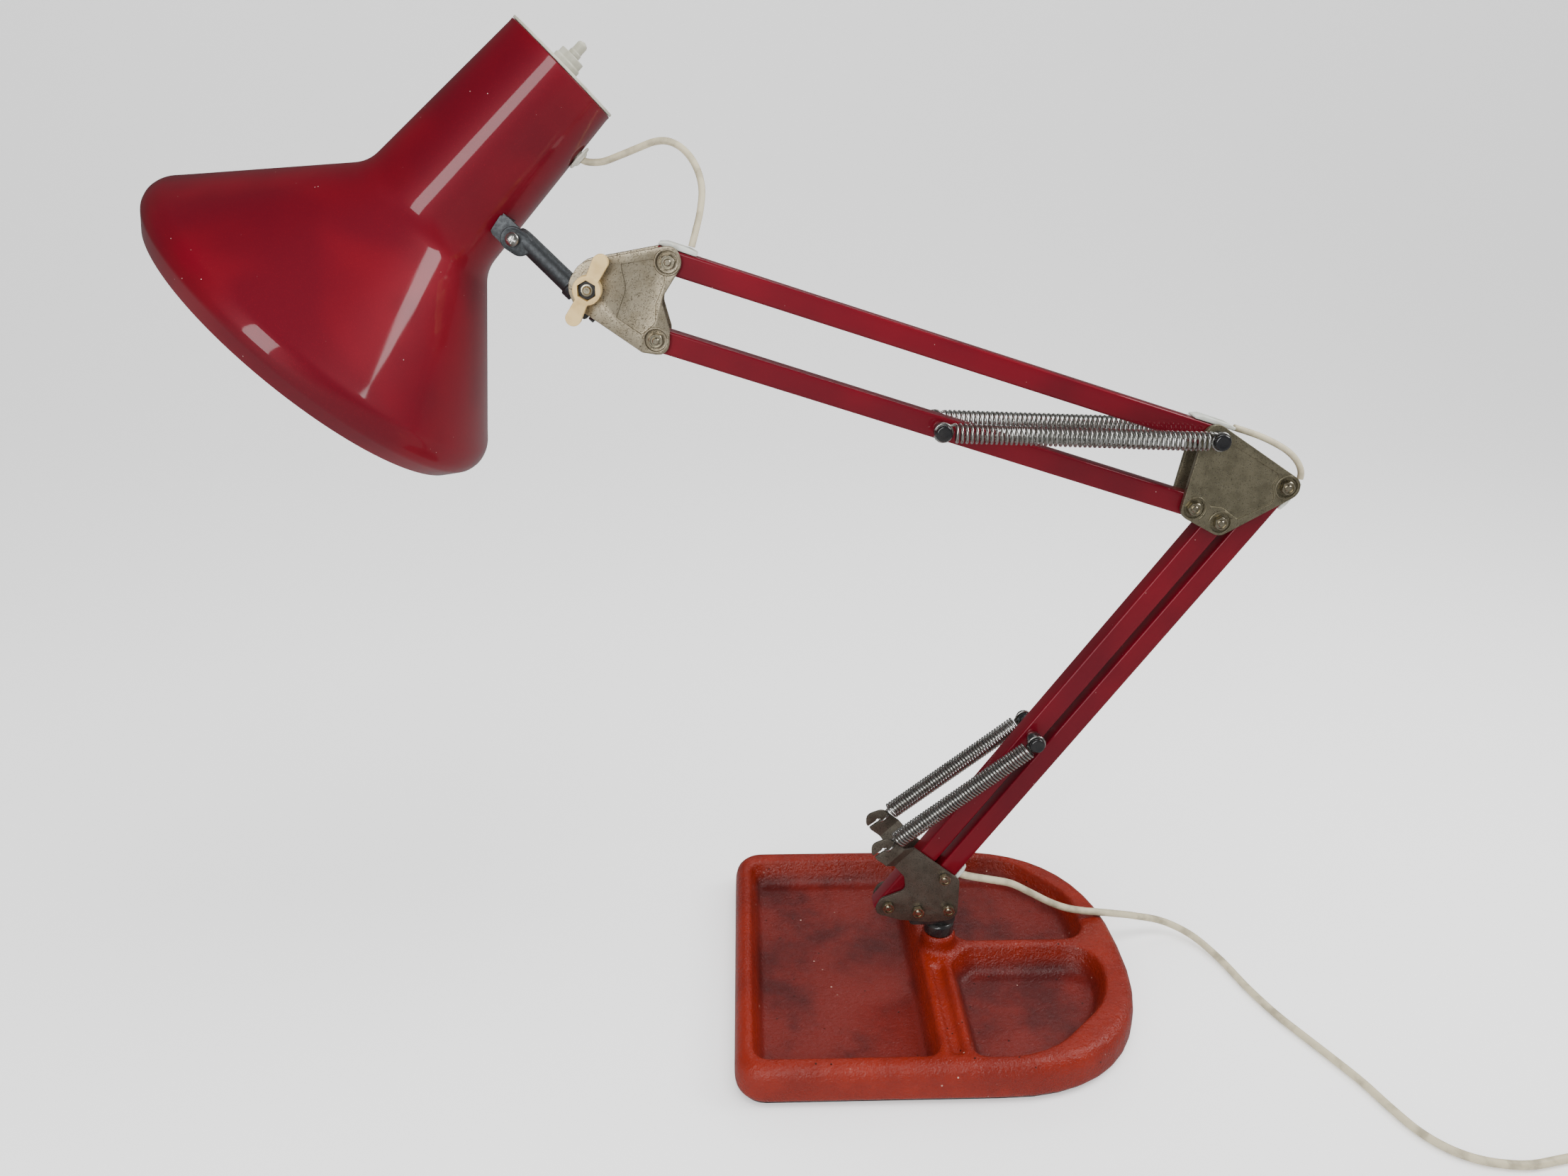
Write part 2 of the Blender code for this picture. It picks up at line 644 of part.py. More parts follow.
def clamp_block(holder):
    corners = [(35, -7.2, 2), (45, -7.2, 2), (45, 15, 6), (28, 15, 5), (28, 7.2, 1), (35, 7.2, 1)]
    outline = [Vector((stem_frame(p.x / MM, p.y / MM).x, stem_frame(p.x / MM, p.y / MM).z))
               for p in rounded(scaled(corners), 3)]
    block = finish("clamp_block", plate_bm(outline, [circle(WING, HOLE_R, 12)], -6.3 * MM, 6.3 * MM),
                   black_plastic(), holder)
    bore = turned_bm([(0, 20 * MM), (3.6 * MM, 20 * MM), (3.6 * MM, 60 * MM), (0, 60 * MM)],
                     STEM_FROM, STEM_DIR, 16)
    combine(block, helper("cut_clamp_bore", bore))


def stem(holder):
    """Round rod with a bright collar, a spigot through the clamp and a flattened eye."""
    profile = [(0, 6), (4.6, 6), (5.5, 8), (5.5, 27.5), (6.2, 28), (6.2, 32.4), (5.6, 33.2), (3.3, 33.2),
               (3.3, 50.5), (0, 50.5)]
    bm = turned_bm([(r * MM, h * MM) for r, h in profile], STEM_FROM, STEM_DIR, 20)
    rod = finish("stem", bm, gunmetal(), holder, smooth=True)
    root = Vector((stem_frame(9, 0).x, stem_frame(9, 0).z))
    outline = hull_round([(Vector(EYE), 7 * MM), (root, 5.2 * MM)], 32)
    eye = plate_bm(outline, [circle(EYE, 2.2 * MM, 12)], *EYE_Y)
    combine(rod, helper("add_stem_eye", eye), "UNION")
    turned("stem_nut", [(3.6 * MM, 45.4 * MM), (6.2 * MM, 45.4 * MM), (6.2 * MM, 48.6 * MM),
                        (3.6 * MM, 48.6 * MM)],
           STEM_FROM, STEM_DIR, black_plastic(), holder, 16, closed=True)


def eye_screw(holder):
    head = EYE_Y[0] - CLEAR
    profile = [(0, 2.4), (1.6, 2.2), (3.2, 1.2), (3.3, 0), (1.8, 0), (1.8, -5.3), (3.3, -5.3), (3.3, -7.4),
               (0, -7.4)]
    turned("eye_screw", [(r * MM, h * MM) for r, h in profile], across(Vector(EYE), head), (0, -1, 0),
           bright_steel(), holder, 14)


# %% shade and what it holds
def shade_point(down, side=0.0, front=0.0):
    """A place down the shade's axis, to the stem's side and toward the front, in millimetres."""
    facing = SHADE_DOWN.cross(NECK_SIDE)
    facing *= -math.copysign(1, facing.y)
    return SHADE_TOP + (SHADE_DOWN * down + NECK_SIDE * side + facing * front) * MM


def shade_shell(holder):
    wall = SHADE_WALL / MM
    outer = [(31.2, 0), (37.2, 98.8), (93.6, 164.8), (97.6, 169.4), (99.9, 174.8), (100.0, 179.2),
             (98.4, 182.4), (92.6, 190.5)]
    inner = [(r - wall * lean, h + shift) for (r, h), lean, shift in zip(
        outer, (1, 1.25, 1.25, 1.2, 1.1, 1.1, 1.2, 1.3), (0, 0.5, 0.9, 0.7, 0.3, 0, -0.4, 0))]
    profile = [(r * MM, h * MM) for r, h in outer + inner[::-1]]
    bm = turned_bm(profile, SHADE_TOP, SHADE_DOWN, 44, closed=True)
    shell = finish("shade", bm, wine_red(), holder, smooth=True)
    hole = turned_bm([(0, 20 * MM), (3.6 * MM, 20 * MM), (3.6 * MM, 50 * MM), (0, 50 * MM)],
                     shade_point(GROMMET_AT / MM), NECK_SIDE, 14)
    combine(shell, helper("cut_grommet_hole", hole))


def shade_cap(holder):
    """Vented disc on the neck's end, with arc slots round the switch."""
    bm = bmesh.new()
    frame = SHADE_DOWN.to_track_quat("Z", "Y").to_matrix()
    top = SHADE_TOP - SHADE_DOWN * 1.6 * MM
    loops = [circle((0, 0), 31.4 * MM, 48), circle((0, 0), 5.4 * MM, 16)]
    for slot in range(6):
        middle = slot * math.pi / 3
        span = [middle + math.radians(a) for a in (-20, -10, 0, 10, 20)]
        loops.append([24 * MM * polar(a) for a in span] + [20 * MM * polar(a) for a in reversed(span)])
    fill_loops(bm, loops, lambda p: top + frame @ Vector((p[0], p[1], 0)))
    thicken(bm, SHADE_DOWN * 1.3 * MM)
    finish("shade_cap", bm, milky_plastic(), holder)


def switch_and_holder(holder, plunger_holder):
    down = [(r * MM, h * MM) for r, h in (
        (0, 1.6), (3.5, 1.6), (3.5, -8.2), (6.6, -8.2), (7.4, -7.4), (7.4, -1.9), (5.0, -1.9), (5.0, 1.0),
        (9, 1.0), (9, 13), (0, 13))]
    turned("switch_body", down, SHADE_TOP, SHADE_DOWN, switch_plastic(), holder, 20)
    turned("switch_plunger", [(0, -2.0 * MM), (3.15 * MM, -2.0 * MM), (3.15 * MM, -15.6 * MM),
                              (2.4 * MM, -16.6 * MM), (0, -16.7 * MM)],
           SHADE_TOP, SHADE_DOWN, switch_plastic(), plunger_holder, 16)
    turned("lampholder", [(r * MM, h * MM) for r, h in (
        (0, 13.3), (5, 13.3), (5, 20), (15, 22), (19, 28), (19, 64), (13.6, 64), (13.6, 38), (0, 38))],
           SHADE_TOP, SHADE_DOWN, black_plastic(), holder, 24)
    glass = [(3, 38.5), (12.9, 40), (12.9, 64), (14.5, 70), (19, 84), (26.5, 100), (30, 116), (28, 131),
             (20, 142.5), (9, 147.5), (3, 148)]
    inner = [(max(r - 1.0, 1.5), h - (1.0 if h > 120 else 0)) for r, h in glass[1:-1]]
    profile = [(0, 148), *reversed(glass[1:-1]), (1.5, 39), *inner, (0, 146.5)]
    turned("bulb", [(r * MM, h * MM) for r, h in profile], SHADE_TOP, SHADE_DOWN, lamp_glass(), holder, 16)


def neck_radius(down):
    return (NECK_R[0] + (NECK_R[1] - NECK_R[0]) * down * MM / NECK_LENGTH) / MM


def grommet(holder):
    wall = neck_radius(GROMMET_AT / MM)
    profile = [(0, wall + 2.8), (4.6, wall + 2.8), (6.6, wall + 1.8), (6.6, wall + 0.8), (3.3, wall + 0.8),
               (3.3, wall - 3), (0, wall - 3)]
    turned("cord_grommet", [(r * MM, h * MM) for r, h in profile], shade_point(GROMMET_AT / MM), NECK_SIDE,
           switch_plastic(), holder, 16)


def shade_lug(holder):
    """Ear that the stem's eye is screwed to, on a foot that follows the neck."""
    eye = Vector(EYE)
    inward = Vector((-1, 1)).normalized()
    outline = hull_round([(eye, 6 * MM), (eye + inward * 7 * MM, 6 * MM)], 24)
    ear = finish("shade_lug", plate_bm(outline, [circle(EYE, 2.1 * MM, 12)], -2.2 * MM, -0.6 * MM),
                 gunmetal(), holder)
    foot = box_bm(across(eye + inward * 9.2 * MM, 3 * MM), (3.6 * MM, 4.4 * MM, 5.5 * MM),
                  (across(inward), (0, 1, 0), across((1, 1)).normalized()))
    combine(ear, helper("add_lug_foot", foot), "UNION")
    room = [(31.2, 0), (37.2, 98.8)]
    profile = [(0, 0)] + [((r + 0.3) * MM, h * MM) for r, h in room] + [(0, 98.8 * MM)]
    combine(ear, helper("cut_lug_saddle", turned_bm(profile, SHADE_TOP, SHADE_DOWN, 96)))


# %% cords
def smooth_route(points, spacing):
    """Evenly spaced points of the curve through a route's own points."""
    knots = [Vector(p) * MM for p in points]
    ends = [2 * knots[0] - knots[1]] + knots + [2 * knots[-1] - knots[-2]]
    fine = []
    for a, b, c, d in zip(ends, ends[1:], ends[2:], ends[3:]):
        fine += interpolate_bezier(b, b + (c - a) / 6, c - (d - b) / 6, c, 13)[:-1]
    fine.append(knots[-1])
    total = sum((q - p).length for p, q in zip(fine, fine[1:]))
    count = round(total / spacing)
    step = total / count
    even = [fine[0]]
    walked = 0.0
    for p, q in zip(fine, fine[1:]):
        piece = (q - p).length
        while walked + piece >= step * len(even) and len(even) < count:
            even.append(p.lerp(q, (step * len(even) - walked) / piece))
        walked += piece
    return even + [fine[-1]]


def cord(name, points, radius, resolution, spacing):
    curve = bpy.data.curves.new(name, "CURVE")
    curve.dimensions = "3D"
    curve.bevel_depth = radius
    curve.bevel_resolution = resolution
    curve.use_fill_caps = True
    route = smooth_route(points, spacing)
    spline = curve.splines.new("POLY")
    spline.points.add(len(route) - 1)
    for slot, point in zip(spline.points, route):
        slot.co = (*point, 1)
        slot.radius = 1
    curve.materials.append(lead_sheath())
    obj = bpy.data.objects.new(name, curve)
    bpy.context.collection.objects.link(obj)
    return obj


HEAD_CORD = [
    (-199.5, 25.6, 487.6), (-191.4, 25.5, 487.6), (-182.5, 24, 490.6),
    (-173.6, 22, 494), (-164.7, 19, 497.2),
    (-157.8, 17, 497.6), (-151.4, 14.5, 495), (-146, 11.5, 489.8), (-142.3, 8.5, 482.8), (-140.8, 6, 474.9),
    (-141.8, 3.5, 465.3), (-144, 1.2, 456.4), (-146.2, 0, 448.6)]
ELBOW_CORD = [
    (140.8, 0, 357), (148.4, 0, 354.7), (154.1, 0, 352.8), (159.9, 0, 350.5), (165.8, 0, 347.7),
    (170.8, 0, 344.9), (175.2, 0, 341.6), (178.6, 0, 338),
    (180.9, 0, 334.2), (181.7, 0, 331), (181.6, 0, 328.4)]
MAINS_LEAD = [
    (10.8, 0, 77.1), (17.5, 0.6, 74.6), (30.6, 5, 69), (45.9, 10, 62.2), (59.7, 14, 52.5), (73.7, 18, 42.2),
    (85.7, 21, 35.2), (97.7, 24, 30.4), (107.5, 25.5, 28.2), (120.8, 28.6, 24.4), (137.9, 35.3, 17.2),
    (159.6, 39.8, 9), (176.1, 30.2, 4.8), (187.1, 8.1, 2.9), (194.3, -19.9, 2.6), (202.2, -43.6, 2.6),
    (211, -62.8, 2.6), (219.5, -80.8, 2.6), (227.4, -98.5, 2.6), (233.8, -117.4, 2.6), (240.6, -134.1, 2.6),
    (249.5, -145.7, 2.6), (260.5, -153.1, 2.6), (273.3, -156.9, 2.6),
    (287.8, -158, 2.6), (305, -155.2, 2.6),
    (322, -152.2, 2.6), (336, -151.4, 2.6)]
COIL_CENTRE = (350, -183)


def lead_coil():
    """Outer shape of the spare lead: six turns, three wide and two high."""
    ring = [(18, 0.4), (32, 0.4), (32, 8.8), (31.2, 9.6), (18.8, 9.6), (18, 8.8)]
    turned("lead_coil", [(r * MM, h * MM) for r, h in ring], (COIL_CENTRE[0] * MM, COIL_CENTRE[1] * MM, 0),
           (0, 0, 1), lead_sheath(), steps=32, closed=True)


def plug():
    """Flat two-pin plug lying beside the coil, its cord end toward +Y."""
    x, y, z = 392 * MM, -187 * MM, 7.2 * MM
    outline = rounded(scaled([(-4, -8, 2), (4, -8, 2), (8, -14, 3),
                              (13, -20, 4), (13, -42, 3), (-13, -42, 3),
                              (-13, -20, 4), (-8, -14, 3)]), 3)
    bm = bmesh.new()
    fill_loops(bm, [outline], lambda p: (x + p[0], y + p[1], z - 6.7 * MM))
    thicken(bm, (0, 0, 13.4 * MM))
    body = finish("mains_plug", bm, milky_plastic())
    cone = [(0, 0), (3.2 * MM, 0), (4.2 * MM, 10 * MM), (0, 10 * MM)]
    relief = turned_bm(cone, (x, y, z), (0, -1, 0), 12)
    combine(body, helper("add_plug_relief", relief), "UNION")
    for number, side in enumerate((-1, 1)):
        pin = turned_bm([(0, 0), (2 * MM, 0), (2 * MM, 20 * MM), (1.2 * MM, 21 * MM), (0, 21 * MM)],
                        (x + side * 9.3 * MM, y - 40 * MM, z), (0, -1, 0), 12)
        combine(body, helper(f"add_plug_pin_{number}", pin), "UNION")


# %% the whole lamp
def main():
    for obj in list(bpy.data.objects):
        bpy.data.objects.remove(obj, do_unlink=True)

    base_casting()
    base_pad()
    swivel_bush()

    swivel = joint_empty("axis_swivel", 0, 0)
    swivel_post(swivel)
    pivot_block(swivel)
    bracket_plate("bracket_front_plate", -1, swivel)
    bracket_plate("bracket_rear_plate", 1, swivel)
    sheet_face = PLATE_IN + SHEET + CLEAR
    for name, place in (("pivot_bolt_lower_front", B1), ("pivot_bolt_lower_rear", B2),
                        ("block_bolt_left", B3), ("block_bolt_right", B4)):
        pivot_bolt(name, place, swivel, sheet_face)

    lower_front = joint_empty("axis_lower_front", *B1, swivel)
    square_bar("lower_front_bar", B1, E1, (B1, E1), lower_front, wine_red())
    outward = Vector((LOWER_DIR.y, -LOWER_DIR.x))
    cord_clip("lower_foot_clip", B1, LOWER_DIR, outward, (-4 * MM, 13 * MM), 2.6 * MM, lower_front)
    cord_clip("lower_top_clip", E1, LOWER_DIR, outward, (-11.4 * MM, 6.2 * MM), 2.6 * MM, lower_front)

    lower_rear = joint_empty("axis_lower_rear", *B2, swivel)
    square_bar("lower_rear_bar", B2, E3, (B2, E3, LOWER_KNOB), lower_rear, wine_red())
    spring_pin("lower_spring_pin", LOWER_KNOB, lower_rear)
    knob_pair("lower", LOWER_KNOB, lower_rear)
    for side, place in ((-1, "front"), (1, "rear")):
        spring(f"lower_{place}_spring", HOOK, LOWER_KNOB, side * SPRING_Y, (9 * MM, 5 * MM), swivel)

    elbow = joint_empty("axis_elbow", *E1, lower_front)
    elbow_plates(elbow)
    pocket_face = ELBOW_OUT - NUT_POCKET + CLEAR
    for name, place in (("pivot_bolt_elbow_right", E1), ("pivot_bolt_elbow_left", E2),
                        ("pivot_bolt_elbow_bottom", E3)):
        pivot_bolt(name, place, elbow, pocket_face)
    spring_pin("elbow_spring_pin", E0, elbow, collar=False)
    knob_pair("elbow", E0, elbow)
    for side, place in ((-1, "front"), (1, "rear")):
        spring(f"upper_{place}_spring", UPPER_KNOB, E0, side * SPRING_Y, (5 * MM, 5 * MM), elbow)

    upper_top = joint_empty("axis_upper_top", *E0, elbow)
    square_bar("upper_top_bar", E0, H1, (E0, H1), upper_top, wine_red())
    upward = Vector((UPPER_DIR.y, -UPPER_DIR.x))
    cord_clip("elbow_clip", E0, UPPER_DIR, upward, (-9.5 * MM, 14.1 * MM), 2.6 * MM, upper_top)
    cord_clip("head_clip", H1, UPPER_DIR, upward, (-13 * MM, 6.8 * MM), 2.6 * MM, upper_top)

    upper_bottom = joint_empty("axis_upper_bottom", *E2, elbow)
    square_bar("upper_bottom_bar", E2, H2, (E2, H2, UPPER_KNOB), upper_bottom, wine_red())
    spring_pin("upper_spring_pin", UPPER_KNOB, upper_bottom)
    knob_pair("upper", UPPER_KNOB, upper_bottom)

    head = joint_empty("axis_head", *H1, upper_top)
    head_plates(head)
    head_face = HEAD_OUT - NUT_POCKET + CLEAR
    pivot_bolt("pivot_bolt_head_top", H1, head, head_face)
    pivot_bolt("pivot_bolt_head_bottom", H2, head, head_face)
    clamp_bolt(head)
    wing_knob(joint_empty("axis_wing_knob", *WING, head))

    clamp = joint_empty("axis_clamp", *WING, head)
    clamp_block(clamp)
    stem_axis = joint_empty("axis_stem", STEM_FROM.x, STEM_FROM.z, clamp)
    stem(stem_axis)
    eye_screw(stem_axis)

    tilt = joint_empty("axis_shade", *EYE, stem_axis)
    shade_shell(tilt)
    shade_cap(tilt)
    plunger = joint_empty("axis_plunger", SHADE_TOP.x, SHADE_TOP.z, tilt, SHADE_TOP.y)
    switch_and_holder(tilt, plunger)
    grommet(tilt)
    shade_lug(tilt)

    cord("head_cord", HEAD_CORD, LOOP_CORD_R, 2, 4.5 * MM)
    cord("elbow_cord", ELBOW_CORD, LOOP_CORD_R, 2, 4.5 * MM)
    cord("mains_lead", MAINS_LEAD, LEAD_R, 2, 9 * MM)
    lead_coil()
    plug()


main()
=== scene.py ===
# %% [markdown]
# # A spring-balanced architect's desk lamp
#
# The lamp stands on a cast tray. Two pairs of square tubes carry a spun shade, and four
# coil springs hold its weight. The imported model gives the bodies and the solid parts, and
# this script gives them their looks: rounded edges, real coils, and worn finishes.

# %% Load the frame and keep its box
import json
import math

import bmesh
import bpy
from mathutils import Matrix, Vector


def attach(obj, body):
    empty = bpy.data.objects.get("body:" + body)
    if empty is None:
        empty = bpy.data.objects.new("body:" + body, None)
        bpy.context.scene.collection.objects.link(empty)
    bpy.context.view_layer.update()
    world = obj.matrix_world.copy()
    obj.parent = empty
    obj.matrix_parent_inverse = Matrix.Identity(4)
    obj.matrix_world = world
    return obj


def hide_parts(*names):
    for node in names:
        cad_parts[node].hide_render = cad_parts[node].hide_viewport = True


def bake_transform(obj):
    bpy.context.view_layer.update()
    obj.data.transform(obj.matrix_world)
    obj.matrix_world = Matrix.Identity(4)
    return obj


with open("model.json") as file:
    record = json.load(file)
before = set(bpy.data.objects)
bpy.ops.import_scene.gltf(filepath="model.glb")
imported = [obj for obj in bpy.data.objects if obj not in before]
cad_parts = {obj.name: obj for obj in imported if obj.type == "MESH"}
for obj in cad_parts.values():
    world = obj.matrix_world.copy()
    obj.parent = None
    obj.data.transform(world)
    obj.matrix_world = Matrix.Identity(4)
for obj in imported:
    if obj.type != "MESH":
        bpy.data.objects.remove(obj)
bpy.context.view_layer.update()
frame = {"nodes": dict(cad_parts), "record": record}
MM = 0.001
record = frame["record"]
body_of = {node: body for body, nodes in record["behaviour"]["bodies"].items() for node in nodes}
pivot = {joint["name"]: Vector(joint["pos_m"]) for joint in record["behaviour"]["joints"]}

# %% [markdown]
# ## The camera
#
# The eye is a little above the elbow and looks down at the lamp from in front. A short
# lens this close makes the shade and the tray look larger than the arms behind them.

# %% Add the camera
bpy.ops.object.select_all(action="DESELECT")
bpy.ops.object.camera_add(
    location=Vector((-121.1, -604.2, 499.4)) * MM,
    rotation=[math.radians(a) for a in (68.924, -0.422, -1.946)],
)
camera = bpy.context.active_object
camera.name = "studio_camera"
camera.data.lens = 26.8
camera.data.sensor_width = 36
camera.data.clip_start = 0.01
bpy.context.scene.camera = camera

# %% [markdown]
# ## Maths on sockets
#
# A worn finish is worked out from noises and places. A small class wraps a socket, so
# that the sums are written as Python, and each operator adds its own Math node.

# %% Wrap a socket that holds a number
class Amount:
    def __init__(self, tree, socket):
        self.tree = tree
        self.socket = socket

    def _maths(self, operation, *values):
        node = self.tree.nodes.new("ShaderNodeMath")
        node.operation = operation
        for slot, value in zip(node.inputs, values):
            if isinstance(value, Amount):
                self.tree.links.new(value.socket, slot)
            else:
                slot.default_value = value
        return Amount(self.tree, node.outputs[0])

    def __add__(self, other):
        return self._maths("ADD", self, other)

    def __sub__(self, other):
        return self._maths("SUBTRACT", self, other)

    def __rsub__(self, other):
        return self._maths("SUBTRACT", other, self)

    def __mul__(self, other):
        return self._maths("MULTIPLY", self, other)

    __radd__ = __add__
    __rmul__ = __mul__

    def between(self, low, high):
        """0 below low and 1 above high, or the other way round if high is the smaller."""
        node = self.tree.nodes.new("ShaderNodeMapRange")
        node.interpolation_type = "SMOOTHSTEP"
        self.tree.links.new(self.socket, node.inputs["Value"])
        low, high, start = (low, high, 0) if low < high else (high, low, 1)
        node.inputs["From Min"].default_value = low
        node.inputs["From Max"].default_value = high
        node.inputs["To Min"].default_value = start
        node.inputs["To Max"].default_value = 1 - start
        return Amount(self.tree, node.outputs[0])


# %% Hold one material and its nodes
class Finish:
    def __init__(self, name, colour, roughness, metallic=0.0, coat=0.0):
        self.material = bpy.data.materials.new(name)
        self.material.use_nodes = True
        self.tree = self.material.node_tree
        self.shader = self.tree.nodes["Principled BSDF"]
        self.feed(colour, roughness, metallic)
        self.shader.inputs["Coat Weight"].default_value = coat
        self.shader.inputs["Coat Roughness"].default_value = 0.06
        self.place = self.node("ShaderNodeTexCoord").outputs["Object"]

    def node(self, kind, settings=None, **values):
        made = self.tree.nodes.new(kind)
        for key, value in (settings or {}).items():
            setattr(made, key, value)
        for key, value in values.items():
            self.join(value, made.inputs[key.replace("_", " ")])
        return made

    def join(self, value, slot):
        if isinstance(value, Amount):
            value = value.socket
        if isinstance(value, bpy.types.NodeSocket):
            self.tree.links.new(value, slot)
        elif isinstance(value, tuple) and len(value) == 3 and slot.type == "RGBA":
            slot.default_value = (*value, 1)
        else:
            slot.default_value = value

    def amount(self, socket):
        return Amount(self.tree, socket)

    def noise(self, size, detail=3.0, rough=0.5):
        """Soft random patches about size metres across."""
        made = self.node("ShaderNodeTexNoise", Vector=self.place, Scale=1 / size,
                         Detail=detail, Roughness=rough)
        return self.amount(made.outputs["Fac"])

    def cells(self, size):
        """0 at scattered points about size metres apart, and rising away from them."""
        made = self.node("ShaderNodeTexVoronoi", Vector=self.place, Scale=1 / size)
        return self.amount(made.outputs["Distance"])

    def axis(self, name):
        split = self.node("ShaderNodeSeparateXYZ", Vector=self.place)
        return self.amount(split.outputs[name])

    def mix(self, under, over, share):
        made = self.node("ShaderNodeMix", {"data_type": "RGBA"})
        self.join(share, made.inputs[0])
        self.join(under, made.inputs[6])
        self.join(over, made.inputs[7])
        return made.outputs[2]

    def feed(self, colour=None, roughness=None, metallic=None):
        for key, value in (("Base Color", colour), ("Roughness", roughness),
                           ("Metallic", metallic)):
            if value is not None:
                self.join(value, self.shader.inputs[key])

    def bump(self, height, depth):
        """Raise the surface by height, which runs from 0 to 1, times depth in metres."""
        made = self.node("ShaderNodeBump", Height=height, Distance=depth, Strength=1.0)
        self.join(made.outputs[0], self.shader.inputs["Normal"])


# %% [markdown]
# ## Lacquer, enamel and plating
#
# The shade and tubes are sprayed with a deep wine-red metallic lacquer under a clear coat.
# It has picked up dust and fine marks. The tray is enamelled over rough iron, so its skin
# is dimpled like orange peel, and its wells are darker with painted shade and dirt patches.

# %% Wine-red lacquer
def wine_lacquer():
    finish = Finish("wine_lacquer", (0.2, 0.005, 0.014), 0.3, metallic=0.3, coat=0.6)
    finish.shader.inputs["Specular IOR Level"].default_value = 0.25
    cloud = finish.noise(60 * MM, 2)
    flake = finish.noise(0.35 * MM, 1)
    dust = finish.cells(5 * MM).between(0.05, 0.03) * finish.noise(22 * MM).between(0.52, 0.62)
    colour = finish.mix((0.17, 0.0003, 0.009), (0.12, 0.0003, 0.008), cloud.between(0.35, 0.65))
    colour = finish.mix(colour, (0.28, 0.004, 0.014), flake.between(0.6, 0.75) * 0.5)
    colour = finish.mix(colour, (0.72, 0.5, 0.45), dust)
    finish.feed(colour, 0.42 + 0.1 * cloud, 0.35 - 0.3 * dust)
    finish.bump(finish.noise(7 * MM, 1), 0.02 * MM)
    return finish.material


# %% White stove enamel for the inside of the shade
def white_lining():
    finish = Finish("white_lining", (0.8, 0.79, 0.75), 0.4)
    soot = finish.noise(25 * MM).between(0.4, 0.75)
    finish.feed(finish.mix((0.84, 0.83, 0.8), (0.68, 0.64, 0.55), soot), 0.35 + 0.2 * soot)
    finish.bump(finish.noise(2.5 * MM), 0.02 * MM)
    return finish.material


# %% Hammered enamel on the tray
TRAY_LEFT = -128
TRAY_RIGHT = 117
TRAY_HALF = 107


def hammered_enamel():
    """Orange-red enamel, with painted shade and dirt patches on what lies low inside the tray's
    wall.
    """
    finish = Finish("hammered_enamel", (0.2, 0.013, 0.007), 0.4)
    finish.shader.inputs["Specular IOR Level"].default_value = 0.55
    x, y = finish.axis("X"), finish.axis("Y")
    bulge = x.between(20 * MM, TRAY_RIGHT * MM)
    inside = (bulge * bulge + y * y * (1 / (TRAY_HALF * MM) ** 2)).between(0.9, 0.83)
    inside *= x.between((TRAY_LEFT + 6) * MM, (TRAY_LEFT + 12) * MM)
    low = finish.axis("Z").between(20 * MM, 10 * MM) * inside
    stain = finish.noise(38 * MM, 5, rough=0.6)
    colour = finish.mix((0.21, 0.013, 0.004), (0.15, 0.009, 0.0035), stain.between(0.3, 0.7))
    dirt = finish.noise(45 * MM, 5, rough=0.6).between(0.4, 0.7)
    # The darker floor colour in the wells is painted shade, and the dirt noise adds real dirt
    # patches.
    shaded_floor = finish.mix((0.13, 0.0105, 0.0075), (0.05, 0.006, 0.006), dirt)
    colour = finish.mix(colour, shaded_floor, 0.92 * low)
    pits = finish.cells(11 * MM).between(0.06, 0.035)
    chips = finish.cells(7 * MM).between(0.09, 0.05) * finish.noise(30 * MM).between(0.55, 0.62)
    colour = finish.mix(colour, (0.012, 0.005, 0.004), pits)
    colour = finish.mix(colour, (0.55, 0.36, 0.3), 0.85 * chips)
    dimples = finish.noise(2.2 * MM, 2)
    orange_peel = 0.6 * dimples + 0.4 * finish.noise(0.8 * MM, 2)
    finish.feed(colour, 0.2 + 0.12 * stain + 0.1 * low)
    finish.bump(orange_peel - 0.3 * pits, 1.1 * MM)
    return finish.material


# %% Aged plating, with its own tint for each kind of plate
def aged_plating(name, light, dark, speck, roughness):
    finish = Finish(name, light, roughness, metallic=0.9)
    mottle = finish.noise(9 * MM, 6, rough=0.65)
    grain = finish.noise(0.9 * MM, 3)
    pits = finish.cells(0.8 * MM).between(0.36, 0.18)
    pits *= finish.noise(2.2 * MM, 2).between(0.44, 0.56)
    colour = finish.mix(light, dark, mottle.between(0.36, 0.68))
    colour = finish.mix(colour, speck, 0.9 * pits + 0.5 * grain.between(0.54, 0.7))
    finish.feed(colour, roughness + 0.2 * grain + 0.25 * pits, 0.92 - 0.5 * pits)
    finish.bump(0.5 * grain - 0.6 * pits, 0.12 * MM)
    return finish.material


def elbow_nickel():
    return aged_plating("elbow_nickel", (0.33, 0.295, 0.2), (0.22, 0.195, 0.13),
                        (0.03, 0.027, 0.02), 0.34)


def plate_nickel():
    return aged_plating("plate_nickel", (0.42, 0.365, 0.265), (0.32, 0.27, 0.185),
                        (0.06, 0.05, 0.033), 0.34)


def bracket_steel():
    return aged_plating("bracket_steel", (0.23, 0.205, 0.165), (0.165, 0.145, 0.115),
                        (0.045, 0.038, 0.03), 0.42)


# %% Bright wire, nuts and screws
def bright_steel():
    finish = Finish("bright_steel", (0.66, 0.65, 0.61), 0.22, metallic=1.0)
    tarnish = finish.noise(3 * MM, 4)
    colour = finish.mix((0.62, 0.62, 0.59), (0.3, 0.28, 0.24), tarnish.between(0.45, 0.75))
    finish.feed(colour, 0.17 + 0.22 * tarnish)
    finish.bump(finish.noise(0.6 * MM, 2), 0.02 * MM)
    return finish.material


